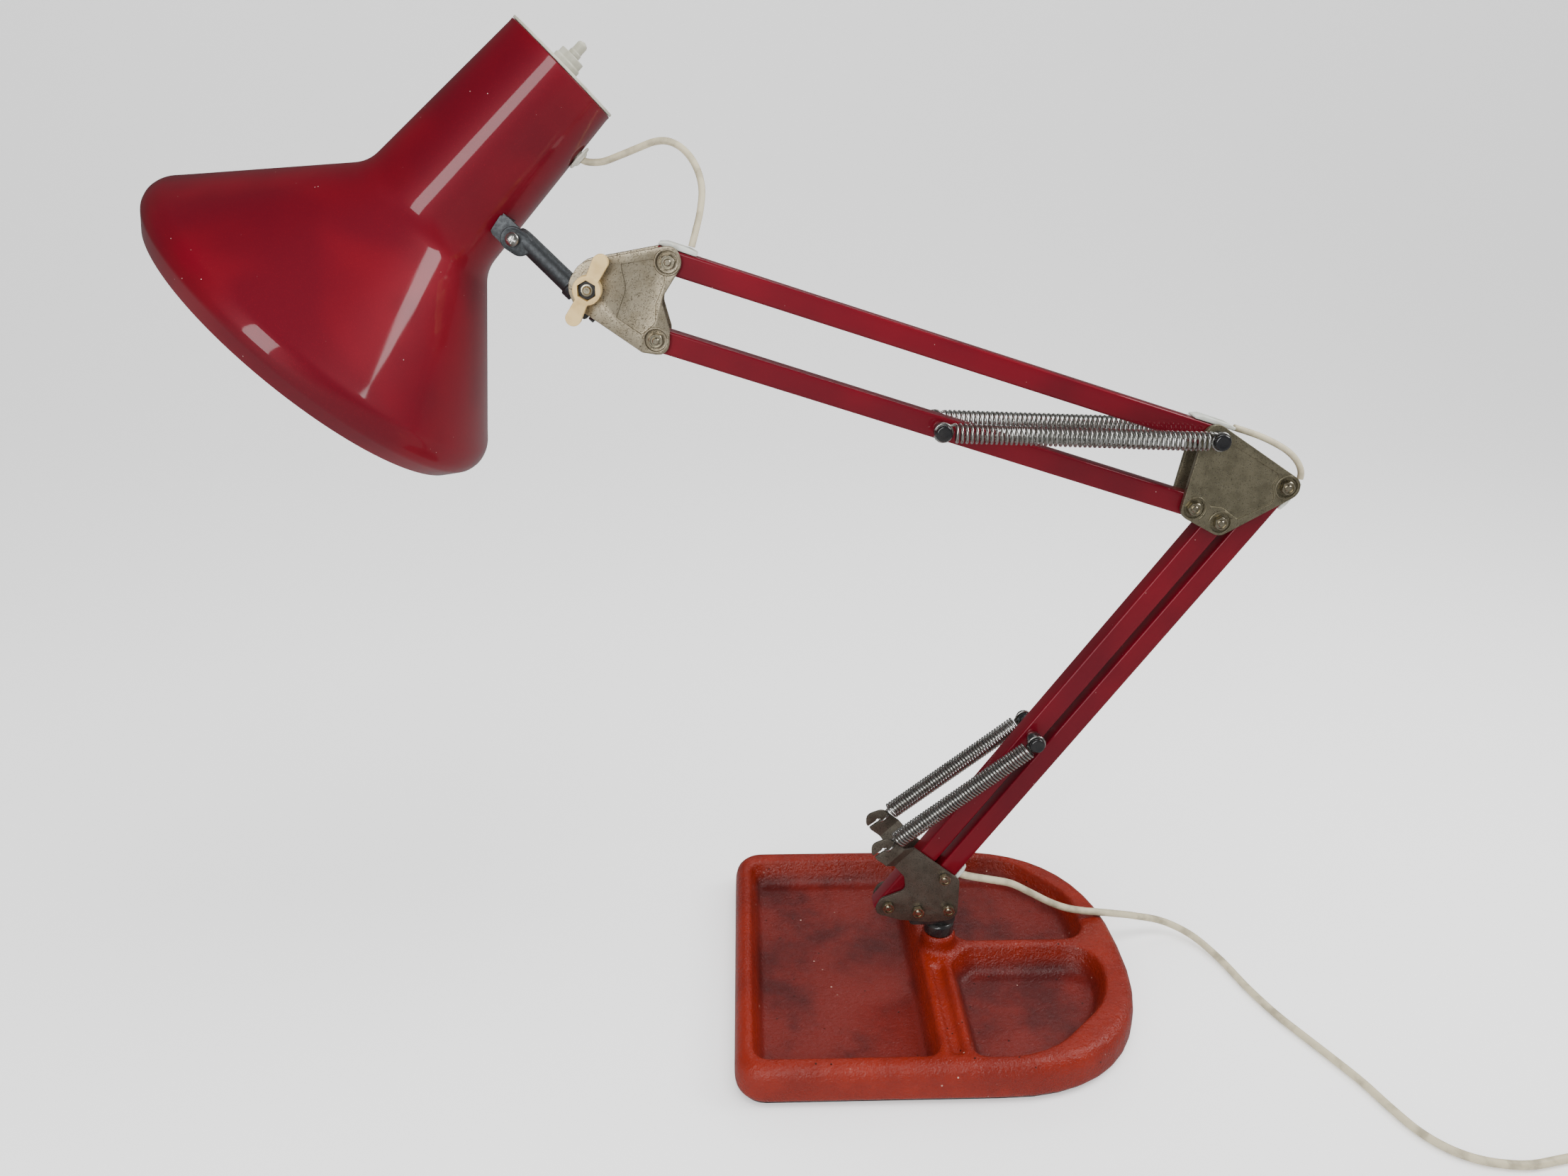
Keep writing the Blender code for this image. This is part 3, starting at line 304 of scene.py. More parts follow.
def nut_nickel():
    finish = Finish("nut_nickel", (0.55, 0.5, 0.38), 0.3, metallic=1.0)
    dirt = finish.noise(1.6 * MM, 4)
    colour = finish.mix((0.5, 0.45, 0.33), (0.2, 0.17, 0.11), dirt.between(0.5, 0.75))
    finish.feed(colour, 0.2 + 0.2 * dirt)
    finish.bump(dirt, 0.02 * MM)
    return finish.material


def gunmetal():
    finish = Finish("gunmetal", (0.09, 0.1, 0.11), 0.4, metallic=0.85)
    mottle = finish.noise(1.5 * MM, 4, rough=0.65)
    colour = finish.mix((0.08, 0.087, 0.092), (0.06, 0.064, 0.068), mottle.between(0.35, 0.65))
    finish.feed(colour, 0.32 + 0.25 * mottle)
    finish.bump(mottle, 0.08 * MM)
    return finish.material


# %% [markdown]
# ## Plastics, cord and rubber
#
# Moulded plastics age in their own ways: the thumb nut has yellowed, the clips are milky
# and let light in, and the cord carries grey smudges where hands and desks have rubbed it.

# %% Mottled plastics
def moulded(name, clean, aged, roughness, patch=8 * MM, glow=0.0, coat=0.0):
    finish = Finish(name, clean, roughness, coat=coat)
    finish.shader.inputs["Subsurface Weight"].default_value = glow
    finish.shader.inputs["Subsurface Radius"].default_value = (1.2 * MM, 1.0 * MM, 0.8 * MM)
    patches = finish.noise(patch, 4)
    specks = finish.cells(2.5 * MM).between(0.1, 0.06) * finish.noise(9 * MM).between(0.5, 0.6)
    colour = finish.mix(clean, aged, patches.between(0.4, 0.7))
    colour = finish.mix(colour, tuple(0.25 * c for c in aged), 0.7 * specks)
    finish.feed(colour, roughness + 0.14 * patches)
    finish.bump(finish.noise(1.2 * MM, 2), 0.025 * MM)
    return finish.material


def black_plastic():
    return moulded("black_plastic", (0.008, 0.008, 0.009), (0.016, 0.015, 0.015), 0.12, coat=0.5)


def black_enamel():
    return moulded("black_enamel", (0.012, 0.012, 0.013), (0.03, 0.028, 0.026), 0.2, coat=0.3)


def cream_plastic():
    return moulded("cream_plastic", (0.66, 0.47, 0.2), (0.55, 0.37, 0.14), 0.36, glow=0.06)


def milky_plastic():
    return moulded("milky_plastic", (0.58, 0.6, 0.55), (0.46, 0.46, 0.4), 0.28, glow=0.3)


def switch_plastic():
    return moulded("switch_plastic", (0.5, 0.49, 0.41), (0.38, 0.37, 0.29), 0.3, glow=0.05)


def lead_sheath():
    return moulded("lead_sheath", (0.54, 0.48, 0.33), (0.33, 0.29, 0.2), 0.42,
                   patch=9 * MM, glow=0.04)


def ground_rubber():
    return moulded("ground_rubber", (0.02, 0.02, 0.02), (0.045, 0.042, 0.04), 0.75, patch=3 * MM)


# %% Opal glass and the bulb's screw cap
def opal_glass():
    finish = Finish("opal_glass", (0.93, 0.93, 0.9), 0.12, coat=0.6)
    finish.shader.inputs["Subsurface Weight"].default_value = 0.3
    finish.shader.inputs["Subsurface Radius"].default_value = (6 * MM, 6 * MM, 5 * MM)
    haze = finish.noise(18 * MM, 3)
    finish.feed(finish.mix((0.95, 0.95, 0.92), (0.86, 0.86, 0.8), haze), 0.1 + 0.12 * haze)
    return finish.material


FINISHES = {}


def finish_for(make):
    """Each finish is made once and shared by the pieces that wear it."""
    if make not in FINISHES:
        FINISHES[make] = make()
    return FINISHES[make]


# %% [markdown]
# ## Working with operators
#
# An operator acts on whatever is selected, so each helper first selects one piece. What
# is picked in edit mode is chosen by where it lies, and a finished piece has its place
# applied, so its object is at the origin.

# %% Select, edit and settle a piece
def deselect():
    bpy.ops.object.select_all(action="DESELECT")


def alone(piece):
    deselect()
    piece.select_set(True)
    bpy.context.view_layer.objects.active = piece


def name_new(name):
    piece = bpy.context.active_object
    piece.name = name
    piece.data.name = name
    return piece


def pick_faces(piece, test):
    """In edit mode, select only the faces that pass test."""
    bpy.ops.mesh.select_mode(type="FACE")
    bpy.ops.mesh.select_all(action="DESELECT")
    mesh = bmesh.from_edit_mesh(piece.data)
    for face in mesh.faces:
        face.select_set(bool(test(face)))
    bmesh.update_edit_mesh(piece.data)


def apply_place(piece):
    alone(piece)
    bpy.ops.object.transform_apply(location=True, rotation=True, scale=True)


def modify(piece, kind, **settings):
    """Add a modifier, set it and apply it."""
    alone(piece)
    modifier = piece.modifiers.new(kind.lower(), kind)
    for key, value in settings.items():
        setattr(modifier, key, value)
    bpy.ops.object.modifier_apply(modifier=modifier.name)


def cut(piece, tool, operation="DIFFERENCE"):
    modify(piece, "BOOLEAN", operation=operation, solver="EXACT", object=tool)
    bpy.data.objects.remove(tool)


def join(pieces, name):
    alone(pieces[0])
    for other in pieces[1:]:
        other.select_set(True)
    bpy.ops.object.join()
    return name_new(name)


def settle(piece, finish, *nodes, body=None, slot=None, angle=35):
    """Give a finished piece its looks, its body, and the solid parts it stands for."""
    alone(piece)
    if finish is not None:
        piece.data.materials.clear()
        piece.data.materials.append(finish_for(finish))
    if angle is not None:
        bpy.ops.object.shade_smooth_by_angle(angle=math.radians(angle))
    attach(piece, body or body_of[nodes[0]])
    if nodes:
        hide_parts(*nodes)
    return piece


# %% Turn a section round an axis
def turned(name, section, at, along, steps=64):
    """Draw half a section as a chain of (radius, height) edges in millimetres, and spin it."""
    deselect()
    bpy.ops.mesh.primitive_plane_add(size=MM)
    piece = name_new(name)
    bpy.ops.object.mode_set(mode="EDIT")
    bpy.ops.mesh.select_mode(type="VERT")
    bpy.ops.mesh.merge(type="CENTER")
    bpy.ops.transform.translate(value=(section[0][0] * MM, 0, section[0][1] * MM))
    for (r0, h0), (r1, h1) in zip(section, section[1:]):
        step = ((r1 - r0) * MM, 0, (h1 - h0) * MM)
        bpy.ops.mesh.extrude_region_move(TRANSFORM_OT_translate={"value": step})
    bpy.ops.mesh.select_all(action="SELECT")
    bpy.ops.mesh.spin(steps=steps, angle=2 * math.pi, center=(0, 0, 0), axis=(0, 0, 1))
    bpy.ops.mesh.select_all(action="SELECT")
    bpy.ops.mesh.remove_doubles(threshold=0.001 * MM)
    bpy.ops.mesh.normals_make_consistent(inside=False)
    bpy.ops.object.mode_set(mode="OBJECT")
    turn = Vector(along).to_track_quat("Z", "Y").to_matrix().to_4x4()
    piece.matrix_world = Matrix.Translation(at) @ turn
    apply_place(piece)
    return piece


def eased(corners, steps=5):
    """Round a section's (radius, height, fillet) corners."""
    points = []
    for i, (r, h, fillet) in enumerate(corners):
        here = Vector((r, h))
        if fillet <= 0 or i in (0, len(corners) - 1):
            points.append((r, h))
            continue
        back = Vector(corners[i - 1][:2]) - here
        on = Vector(corners[i + 1][:2]) - here
        start = here + back.normalized() * min(fillet, 0.48 * back.length)
        end = here + on.normalized() * min(fillet, 0.48 * on.length)
        for k in range(steps + 1):
            t = k / steps
            points.append(tuple(start * (1 - t) ** 2 + here * 2 * t * (1 - t) + end * t ** 2))
    return points


# %% Start from a solid part's own mesh
def copied(node):
    """Copy a solid part, weld its loose triangles and clear the flat faces' inner edges."""
    mesh = frame["nodes"][node].data.copy()
    piece = bpy.data.objects.new(f"{node}_piece", mesh)
    bpy.context.collection.objects.link(piece)
    alone(piece)
    bpy.ops.mesh.customdata_custom_splitnormals_clear()
    bpy.ops.object.mode_set(mode="EDIT")
    bpy.ops.mesh.select_all(action="SELECT")
    bpy.ops.mesh.remove_doubles(threshold=0.002 * MM)
    bpy.ops.mesh.dissolve_limited(angle_limit=math.radians(1))
    bpy.ops.object.mode_set(mode="OBJECT")
    return piece


def softened(node, width, segments=3, angle=30):
    """A copy of a solid part with its edges rounded."""
    piece = copied(node)
    modify(piece, "BEVEL", width=width, segments=segments, limit_method="ANGLE",
           angle_limit=math.radians(angle), use_clamp_overlap=True)
    return piece


def cast_from(node, voxel, passes, channel=None):
    """A copy of a solid part, remeshed and relaxed so that every corner gets a cast fillet.

    channel is the place and size of a box that is cut away first.
    """
    piece = copied(node)
    if channel:
        place, size = channel
        deselect()
        bpy.ops.mesh.primitive_cube_add(size=1, location=Vector(place) * MM)
        box = name_new("channel")
        box.scale = Vector(size) * MM
        apply_place(box)
        cut(piece, box)
    modify(piece, "REMESH", mode="VOXEL", voxel_size=voxel, adaptivity=0)
    modify(piece, "SMOOTH", factor=0.5, iterations=passes)
    return piece


# %% [markdown]
# ## The cords
#
# One white cord runs the whole lamp: from the shade to the upper arm in a free loop, round
# the elbow in a short one, and from the foot of the lower arm over the tray to the plug.
# Each loop crosses hinges, so it is cut where it has fully joined one body. Its spare length
# is coiled beside the plug.

# %% Draw a cord through its route
def route_through(points, spacing=2.0):
    """Points of a smooth curve through a route, about spacing millimetres apart."""
    knots = [Vector(p) for p in points]
    ends = [2 * knots[0] - knots[1]] + knots + [2 * knots[-1] - knots[-2]]
    fine = []
    for a, b, c, d in zip(ends, ends[1:], ends[2:], ends[3:]):
        count = max(2, round((c - b).length / spacing))
        for k in range(count):
            t = k / count
            out = 0.5 * (2 * b + (c - a) * t + (2 * a - 5 * b + 4 * c - d) * t * t
                         + (3 * b - a - 3 * c + d) * t ** 3)
            fine.append(out)
    return fine + [knots[-1]]


def wire(name, line, radius, sides=4):
    """A round wire along a line of points in millimetres, as a mesh."""
    curve = bpy.data.curves.new(name, "CURVE")
    curve.dimensions = "3D"
    curve.bevel_depth = radius * MM
    curve.bevel_resolution = sides
    curve.use_fill_caps = True
    spline = curve.splines.new("POLY")
    spline.points.add(len(line) - 1)
    for slot, place in zip(spline.points, line):
        slot.co = (*(place * MM), 1)
    piece = bpy.data.objects.new(name, curve)
    bpy.context.collection.objects.link(piece)
    alone(piece)
    bpy.ops.object.convert(target="MESH")
    return name_new(name)


def length_of(line):
    return sum((b - a).length for a, b in zip(line, line[1:])) * MM


# %% Loop at the head, in four stretches
HEAD_LOOP = [
    (-204, 25.5, 490.4), (-199.5, 25.6, 487.6), (-191.4, 25.5, 487.6), (-182.5, 24, 490.6),
    (-173.6, 22, 494), (-164.7, 19, 497.2), (-157.8, 17, 497.6), (-151.4, 14.5, 495),
    (-146, 11.5, 489.8), (-142.3, 8.5, 482.8), (-140.8, 6, 474.9), (-141.8, 3.5, 465.3),
    (-144, 1.2, 456.4), (-146.2, 0, 448.6)]
ELBOW_LOOP = [
    (140.8, 0, 357), (148.4, 0, 354.7), (154.1, 0, 352.8), (159.9, 0, 350.5), (165.8, 0, 347.7),
    (170.8, 0, 344.9), (175.2, 0, 341.6), (178.6, 0, 338), (180.9, 0, 334.2), (181.7, 0, 331),
    (181.6, 0, 328.4)]


def bent_wire(name, line, radius):
    """One stretch of cord, drawn as a wire in the sheath's finish."""
    piece = wire(name, line, radius)
    piece.data.materials.append(finish_for(lead_sheath))
    bpy.ops.object.shade_smooth()
    line[0] * MM
    line[-1] * MM
    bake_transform(piece)
    return piece


def say_cord(line):
    line[0] * MM
    length_of(line)
    [p * MM for p in line]


def at_share(line, share):
    """The index of the point that lies this share of the way along a line."""
    return round(share * (len(line) - 1))


LOOP_R = 1.75
loop = route_through(HEAD_LOOP)
tail_at = at_share(loop, 0.91)
tail = bent_wire("head_cord_tail", loop[tail_at:], LOOP_R)
crossings = (("shade_head", "shade_stem"), ("shade_stem", "tilt_clamp"),
             ("tilt_clamp", "head_bracket"))
for i, (first, second) in enumerate(crossings):
    part = loop[tail_at * i // 3:tail_at * (i + 1) // 3 + 1]
    stretch = bent_wire(f"head_cord_{i + 1}", part, LOOP_R)
    say_cord(part)
    if i == 0:
        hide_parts("head_cord")
print("head cord is", round(length_of(loop), 3), "m long")

# %% Loop at the elbow, in two stretches
loop = route_through(ELBOW_LOOP)
tail_at = at_share(loop, 0.62)
stretch = bent_wire("elbow_cord_1", loop[:tail_at + 1], LOOP_R)
tail = bent_wire("elbow_cord_tail", loop[tail_at:], LOOP_R)
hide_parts("elbow_cord")
say_cord(loop[:tail_at + 1])
print("elbow cord is", round(length_of(loop), 3), "m long")

# %% The mains lead's route, its coil and its plug
LEAD_ROUTE = [
    (10.8, 0, 77.1), (17.5, 0.6, 74.6), (30.6, 5, 69), (45.9, 10, 62.2), (59.7, 14, 52.5),
    (73.7, 18, 42.2), (85.7, 21, 35.2), (97.7, 24, 30.4), (107.5, 25.5, 28.2), (120.8, 28.6, 24.4),
    (137.9, 35.3, 17.2), (159.6, 39.8, 9), (176.1, 30.2, 4.8), (187.1, 8.1, 2.9),
    (194.3, -19.9, 2.6), (202.2, -43.6, 2.6), (211, -62.8, 2.6), (219.5, -80.8, 2.6),
    (227.4, -98.5, 2.6), (233.8, -117.4, 2.6), (240.6, -134.1, 2.6), (249.5, -145.7, 2.6),
    (260.5, -153.1, 2.6), (273.3, -156.9, 2.6), (287.8, -158, 2.6), (305, -155.2, 2.6),
    (322, -152.2, 2.6), (336, -151.2, 2.6)]
COIL_AT = Vector((350, -183, 0))
COIL_ROWS = (29.6, 25.0, 20.4, 20.4, 25.0, 29.6)
LOWER_ROW = 2.7
UPPER_ROW = 7.3
LEAD_R = 2.3


def coil_line():
    """Six turns, three side by side and three on top, wound clockwise from the lead's end."""
    points = []
    per_turn = 24
    for turn, radius in enumerate(COIL_ROWS):
        goes_to = COIL_ROWS[turn + 1] if turn + 1 < len(COIL_ROWS) else radius
        low = LOWER_ROW if turn < 3 else UPPER_ROW
        high = LOWER_ROW if turn < 2 else UPPER_ROW
        for k in range(per_turn):
            shift = max(0.0, (k - 14) / 10)
            shift = shift * shift * (3 - 2 * shift)
            r = radius + (goes_to - radius) * shift
            z = low + (high - low) * shift
            angle = math.radians(90) - 2 * math.pi * k / per_turn
            points.append(COIL_AT + Vector((r * math.cos(angle), r * math.sin(angle), z)))
    return points


PLUG_END = Vector((392, -187, 7.2))
coil = coil_line()
leaving = [COIL_AT + Vector((COIL_ROWS[-1] * math.cos(a), COIL_ROWS[-1] * math.sin(a), UPPER_ROW))
           for a in (math.radians(90), math.radians(72))]
lead = route_through([*LEAD_ROUTE, *coil[1:], *leaving, (370.5, -159, 7.1), (382.5, -166, 7.0),
                      (390, -176.5, 7.1), PLUG_END])
print("mains lead is", round(length_of(lead), 3), "m long")


# %% The lead in three stretches: at the arm's foot, over the tray, and on the table
def nearest(line, place):
    return min(range(len(line)), key=lambda i: (line[i] - Vector(place)).length)


foot_end = nearest(lead, (41, 8.3, 64.4))
tray_end = nearest(lead, (107.5, 25.5, 28.2))
at_foot, over_tray, on_table = lead[:foot_end + 1], lead[foot_end:tray_end + 1], lead[tray_end:]
foot = bent_wire("mains_lead_foot", at_foot, LEAD_R)
over = bent_wire("mains_lead_over_tray", over_tray, LEAD_R)
lying = wire("mains_lead_on_table", on_table, LEAD_R)
settle(lying, lead_sheath, "mains_lead", "lead_coil", slot="lead_sheath", angle=60)

# %% [markdown]
# The plug is moulded in one piece round its two pins, with a ribbed sleeve where the lead
# goes in. A strip of tape with its ends pressed together ties the coil.

# %% Plug body, pins and sleeve
plug = softened("mains_plug", 0.9 * MM)
plug.data.materials.clear()
plug.data.materials.append(finish_for(switch_plastic))
plug.data.materials.append(finish_for(nut_nickel))
PINS_START = -229.5
for face in plug.data.polygons:
    face.material_index = 1 if face.center.y < PINS_START * MM else 0
settle(plug, None, "mains_plug", slot="milky_plastic")
ribs = [(LEAD_R, 0)]
for k in range(7):
    start = 1 + 3.2 * k
    grow = 3.1 + 0.16 * k
    valley = grow - 0.7
    ribs += [(grow, start), (grow, start + 2.0), (valley, start + 2.3), (valley, start + 3.0)]
ribs += [(4.4, 23.5), (4.4, 25), (LEAD_R, 25), (LEAD_R, 0)]
sleeve = turned("plug_sleeve", ribs, (PLUG_END + Vector((0, 14, 0))) * MM, (0, -1, 0), 32)
settle(sleeve, switch_plastic, body="base", slot="milky_plastic")

# %% Tie on the coil
TIE_AT = COIL_AT + Vector((-25, 0, 5))
deselect()
bpy.ops.mesh.primitive_torus_add(major_radius=8.3 * MM, minor_radius=0.9 * MM, major_segments=40,
                                 minor_segments=12, location=TIE_AT * MM,
                                 rotation=(math.radians(90), 0, 0))
tie = name_new("coil_tie")
tie.scale = (1.02, 0.52, 2.6)
apply_place(tie)
for vert in tie.data.vertices:
    if vert.co.x < (TIE_AT.x - 8.7) * MM:
        vert.co.x -= 6 * MM
        vert.co.z = TIE_AT.z * MM + 0.25 * (vert.co.z - TIE_AT.z * MM)
settle(tie, milky_plastic, body="base", slot="milky_plastic")
say_cord(at_foot)
say_cord(over_tray)
say_cord(on_table)

# %% [markdown]
# ## The shade
#
# A spun shade is one sheet pressed over a turning form, so its section is drawn once and
# spun. The lip turns inward past the widest place, and the neck's end is folded over.

# %% Spin the shade
SHADE_TOP = Vector((-209.3, 27.5, 530.6)) * MM
SHADE_DOWN = Vector((-0.7048, -0.0812, -0.7048)).normalized()
section = eased([
    (30.0, 2.0, 0), (30.0, 0.0, 0.7), (31.4, 0.0, 0.7), (31.3, 2.2, 1), (37.2, 98.8, 7),
    (93.6, 164.8, 4), (98.6, 170.4, 3), (100.2, 176.5, 2.5), (99.2, 181.5, 1.5),
    (92.7, 190.4, 0.8), (91.6, 189.8, 0.6), (97.6, 181.6, 2), (98.8, 176.6, 3),
    (97.4, 171.4, 3), (92.2, 166.0, 4), (35.8, 99.8, 7), (30.0, 2.0, 0)], 6)
shade = turned("shade_shell", section, SHADE_TOP, SHADE_DOWN, 160)
NECK_SIDE = Vector((1, 0, -1)).normalized()
NECK_SIDE = (NECK_SIDE - NECK_SIDE.dot(SHADE_DOWN) * SHADE_DOWN).normalized()
GROMMET_DOWN = 24.7
GROMMET_AT = SHADE_TOP + SHADE_DOWN * GROMMET_DOWN * MM
shade.data.materials.append(finish_for(wine_lacquer))
shade.data.materials.append(finish_for(white_lining))
for face in shade.data.polygons:
    out = face.center - SHADE_TOP
    out -= SHADE_DOWN * out.dot(SHADE_DOWN)
    face.material_index = 0 if out.dot(face.normal) > 0 else 1
settle(shade, None, "shade", angle=50)

# %% [markdown]
# The neck is closed by a pale vented disc. The push switch stands in its middle, and the
# lampholder hangs below it with an opal bulb.

# %% Cap, switch and plunger
settle(softened("shade_cap", 0.3 * MM), switch_plastic, "shade_cap")
body = [(0, 12.8), (8.8, 12.8), (8.8, 1.2), (5.0, 1.2), (5.0, -1.8)]
body += eased([(5.0, -1.8, 0), (7.3, -1.8, 0.5), (7.3, -4.2, 0.4), (6.5, -4.8, 0.4),
               (6.5, -8.2, 0.6), (3.6, -8.2, 0.2), (3.6, -6, 0)])
body += [(3.6, 1.5), (0, 1.5)]
switch = turned("switch_housing", body, SHADE_TOP, SHADE_DOWN, 56)
settle(switch, switch_plastic, "switch_body")
knob = eased([(0, -2.0, 0), (3.1, -2.0, 0.2), (3.1, -10.2, 0.3), (2.7, -10.6, 0.3),
              (2.7, -15.6, 1.2), (0, -16.6, 0)])
plunger = turned("switch_button", knob, SHADE_TOP, SHADE_DOWN, 48)
settle(plunger, switch_plastic, "switch_plunger")

# %% Lampholder with its skirt's ribs, and the bulb
holder = [(0, 13.4), (5, 13.4), (5, 19), (8, 21)]
holder += eased([(8, 21, 0), (15, 22, 2), (19, 28, 2), (19, 34, 0)])
for k in range(6):
    start = 35 + 4.4 * k
    holder += [(19.0, start), (18.2, start + 0.7), (18.2, start + 2.6), (19.0, start + 3.3)]
holder += [(19, 64), (13.8, 64), (13.8, 38), (0, 38)]
settle(turned("lamp_socket", holder, SHADE_TOP, SHADE_DOWN, 64), black_plastic, "lampholder")
GLASS_START = 63
glass = [(0, 39)]
glass += eased([(3, 38.6, 0), (11.4, 40, 1), (12.7, 44, 0.5), (12.7, 62, 1), (14.6, 71, 4),
                (19, 84, 6), (26.5, 99, 8), (30.4, 116, 9), (28.5, 132, 9), (20, 143.5, 8),
                (9, 147.6, 4), (0, 148, 0)], 6)
bulb = turned("opal_bulb", glass, SHADE_TOP, SHADE_DOWN, 72)
bulb.data.materials.append(finish_for(opal_glass))
bulb.data.materials.append(finish_for(nut_nickel))
for face in bulb.data.polygons:
    down = (face.center - SHADE_TOP).dot(SHADE_DOWN)
    face.material_index = 1 if down < GLASS_START * MM else 0
settle(bulb, None, "bulb", angle=50)

# %% Cord grommet in the neck's side
NECK_FLARE = 0.06
wall = 31.3 + GROMMET_DOWN * NECK_FLARE
collar = [(2.0, wall - 2.8), (3.2, wall - 2.8), (3.2, wall + 0.5)]
collar += eased([(3.2, wall + 0.5, 0), (6.6, wall + 0.6, 0.4), (6.6, wall + 1.6, 0.5),
                 (4.4, wall + 2.0, 0.4), (3.6, wall + 2.9, 0.5), (2.0, wall + 2.9, 0)])
collar += [(2.0, wall - 2.8)]
settle(turned("neck_grommet", collar, GROMMET_AT, NECK_SIDE, 48), switch_plastic, "cord_grommet")
settle(softened("shade_lug", 0.35 * MM), gunmetal, "shade_lug")

# %% [markdown]
# ## Stem, clamp and thumb nut
#
# The stem is a rod forged flat into an eye at one end. Remeshing the joined rod and eye,
# and relaxing them, melts them together as forging does.

# %% Stem, clamp block and nut
EYE = Vector((-233.5, -5.5, 452.2)) * MM
STEM_FROM = pivot["stem_swivel"]
STEM_DIR = Vector((1, 0, -1)).normalized()
rod = turned("stem_rod", eased([
    (0, -7.5, 0), (3.9, -7.2, 2), (4.9, -3.5, 2), (5.1, 27.2, 0.3), (6.1, 27.6, 0.4),
    (6.1, 32.6, 0.4), (3.3, 33.0, 0.2), (3.3, 50.3, 0.3), (0, 50.4, 0)]),
    STEM_FROM, STEM_DIR, 64)
deselect()
bpy.ops.mesh.primitive_cylinder_add(vertices=64, radius=6 * MM, depth=3 * MM,
                                    location=EYE + Vector((0, 1.5, 0)) * MM,
                                    rotation=(math.radians(90), 0, 0))
eye = name_new("stem_eye")
apply_place(eye)
toward = STEM_FROM + STEM_DIR * 12 * MM - EYE
bpy.ops.object.mode_set(mode="EDIT")
mesh = bmesh.from_edit_mesh(eye.data)
for vert in mesh.verts:
    off = vert.co - EYE
    if off.x * toward.x + off.z * toward.z > 0:
        vert.co += toward.normalized() * 4 * MM
bmesh.update_edit_mesh(eye.data)
bpy.ops.object.mode_set(mode="OBJECT")
cut(rod, eye, "UNION")
modify(rod, "REMESH", mode="VOXEL", voxel_size=0.28 * MM, adaptivity=0)
modify(rod, "SMOOTH", factor=0.5, iterations=4)
settle(rod, gunmetal, "stem", angle=60)
settle(softened("stem_nut", 0.5 * MM), black_plastic, "stem_nut")
settle(softened("clamp_block", 0.7 * MM), black_enamel, "clamp_block")

# %% Cross-head screw in the eye
head = eased([(0, -7.2, 0), (3.3, -7.2, 0.3), (3.3, -5.3, 0.2), (1.8, -5.3, 0.1), (1.8, 0, 0.1),
              (3.5, 0, 0.3), (3.4, 1.2, 0.8), (1.8, 2.3, 0.8), (0, 2.5, 0)])
screw = turned("eye_screw_head", head, EYE + Vector((0, -0.3, 0)) * MM, (0, -1, 0), 48)
for turn in (25, 115):
    deselect()
    bpy.ops.mesh.primitive_cube_add(size=1, location=EYE + Vector((0, -2.6, 0)) * MM,
                                    rotation=(0, math.radians(turn), 0))
    blade = name_new("cross_slot")
    blade.scale = (4.0 * MM, 2.4 * MM, 0.8 * MM)
    apply_place(blade)
    cut(screw, blade)
settle(screw, bright_steel, "eye_screw", angle=40)

# %% Thumb nut with a hexagon recess
WING = pivot["head_tilt"]
thumb = cast_from("wing_knob", 0.4 * MM, 3)
deselect()
bpy.ops.mesh.primitive_cylinder_add(vertices=6, radius=5.1 * MM, depth=8 * MM,
                                    location=WING + Vector((0, -19.4, 0)) * MM,
                                    rotation=(math.radians(90), 0, 0))
cut(thumb, name_new("hex_recess"))
settle(thumb, cream_plastic, "wing_knob", angle=50)


# %% [markdown]
# ## Nuts and bolts
#
# Every pivot is a bolt with a nut in front, bored a little wide so that a dark ring shows
# round the bolt's end. The nut is a six-sided cylinder kept only where it meets a turned
# cone, which gives the curved chamfers of a real nut.

# %% A nut, a threaded tip and a washer
def hexagon(name, place, thick, flats, turn=0.0):
    """A hexagon with chamfered corners, lying along Y from place toward the front."""
    middle = place - Vector((0, thick / 2, 0))
    deselect()
    bpy.ops.mesh.primitive_cylinder_add(vertices=6, radius=flats / math.sqrt(3), depth=thick,
                                        location=middle)
    prism = name_new(name)
    lying_down = Matrix.Rotation(math.pi / 2, 3, "X")
    prism.rotation_euler = (Matrix.Rotation(turn, 3, "Y") @ lying_down).to_euler()
    apply_place(prism)
    wide = flats / math.sqrt(3) / MM + 0.05
    narrow = 0.5 * flats / MM
    h = thick / MM
    cone = turned("chamfer", [(0, 0.0), (narrow, 0.0), (wide, 0.55), (wide, h - 0.55),
                              (narrow, h), (0, h)], place, (0, -1, 0), 48)
    cut(prism, cone, "INTERSECT")
    return prism


def threaded_rod(name, start, long, radius=2.0):
    """A bolt's shank toward the front, with thread grooves over its last 4 mm."""
    section = [(0, 0), (radius, 0), (radius, long - 4)]
    for k in range(5):
        at = long - 4 + 0.7 * k
        section += [(radius, at + 0.2), (radius - 0.28, at + 0.4), (radius, at + 0.6)]
    section += [(radius, long - 0.4), (radius - 0.4, long), (0, long)]
    return turned(name, section, start, (0, -1, 0), 32)


def washer(name, place, outer, thick):
    section = eased([(2.1, 0, 0), (outer, 0, 0.15), (outer, thick, 0.15), (2.1, thick, 0.1)], 2)
    return turned(name, section + [(2.1, 0)], place, (0, -1, 0), 40)


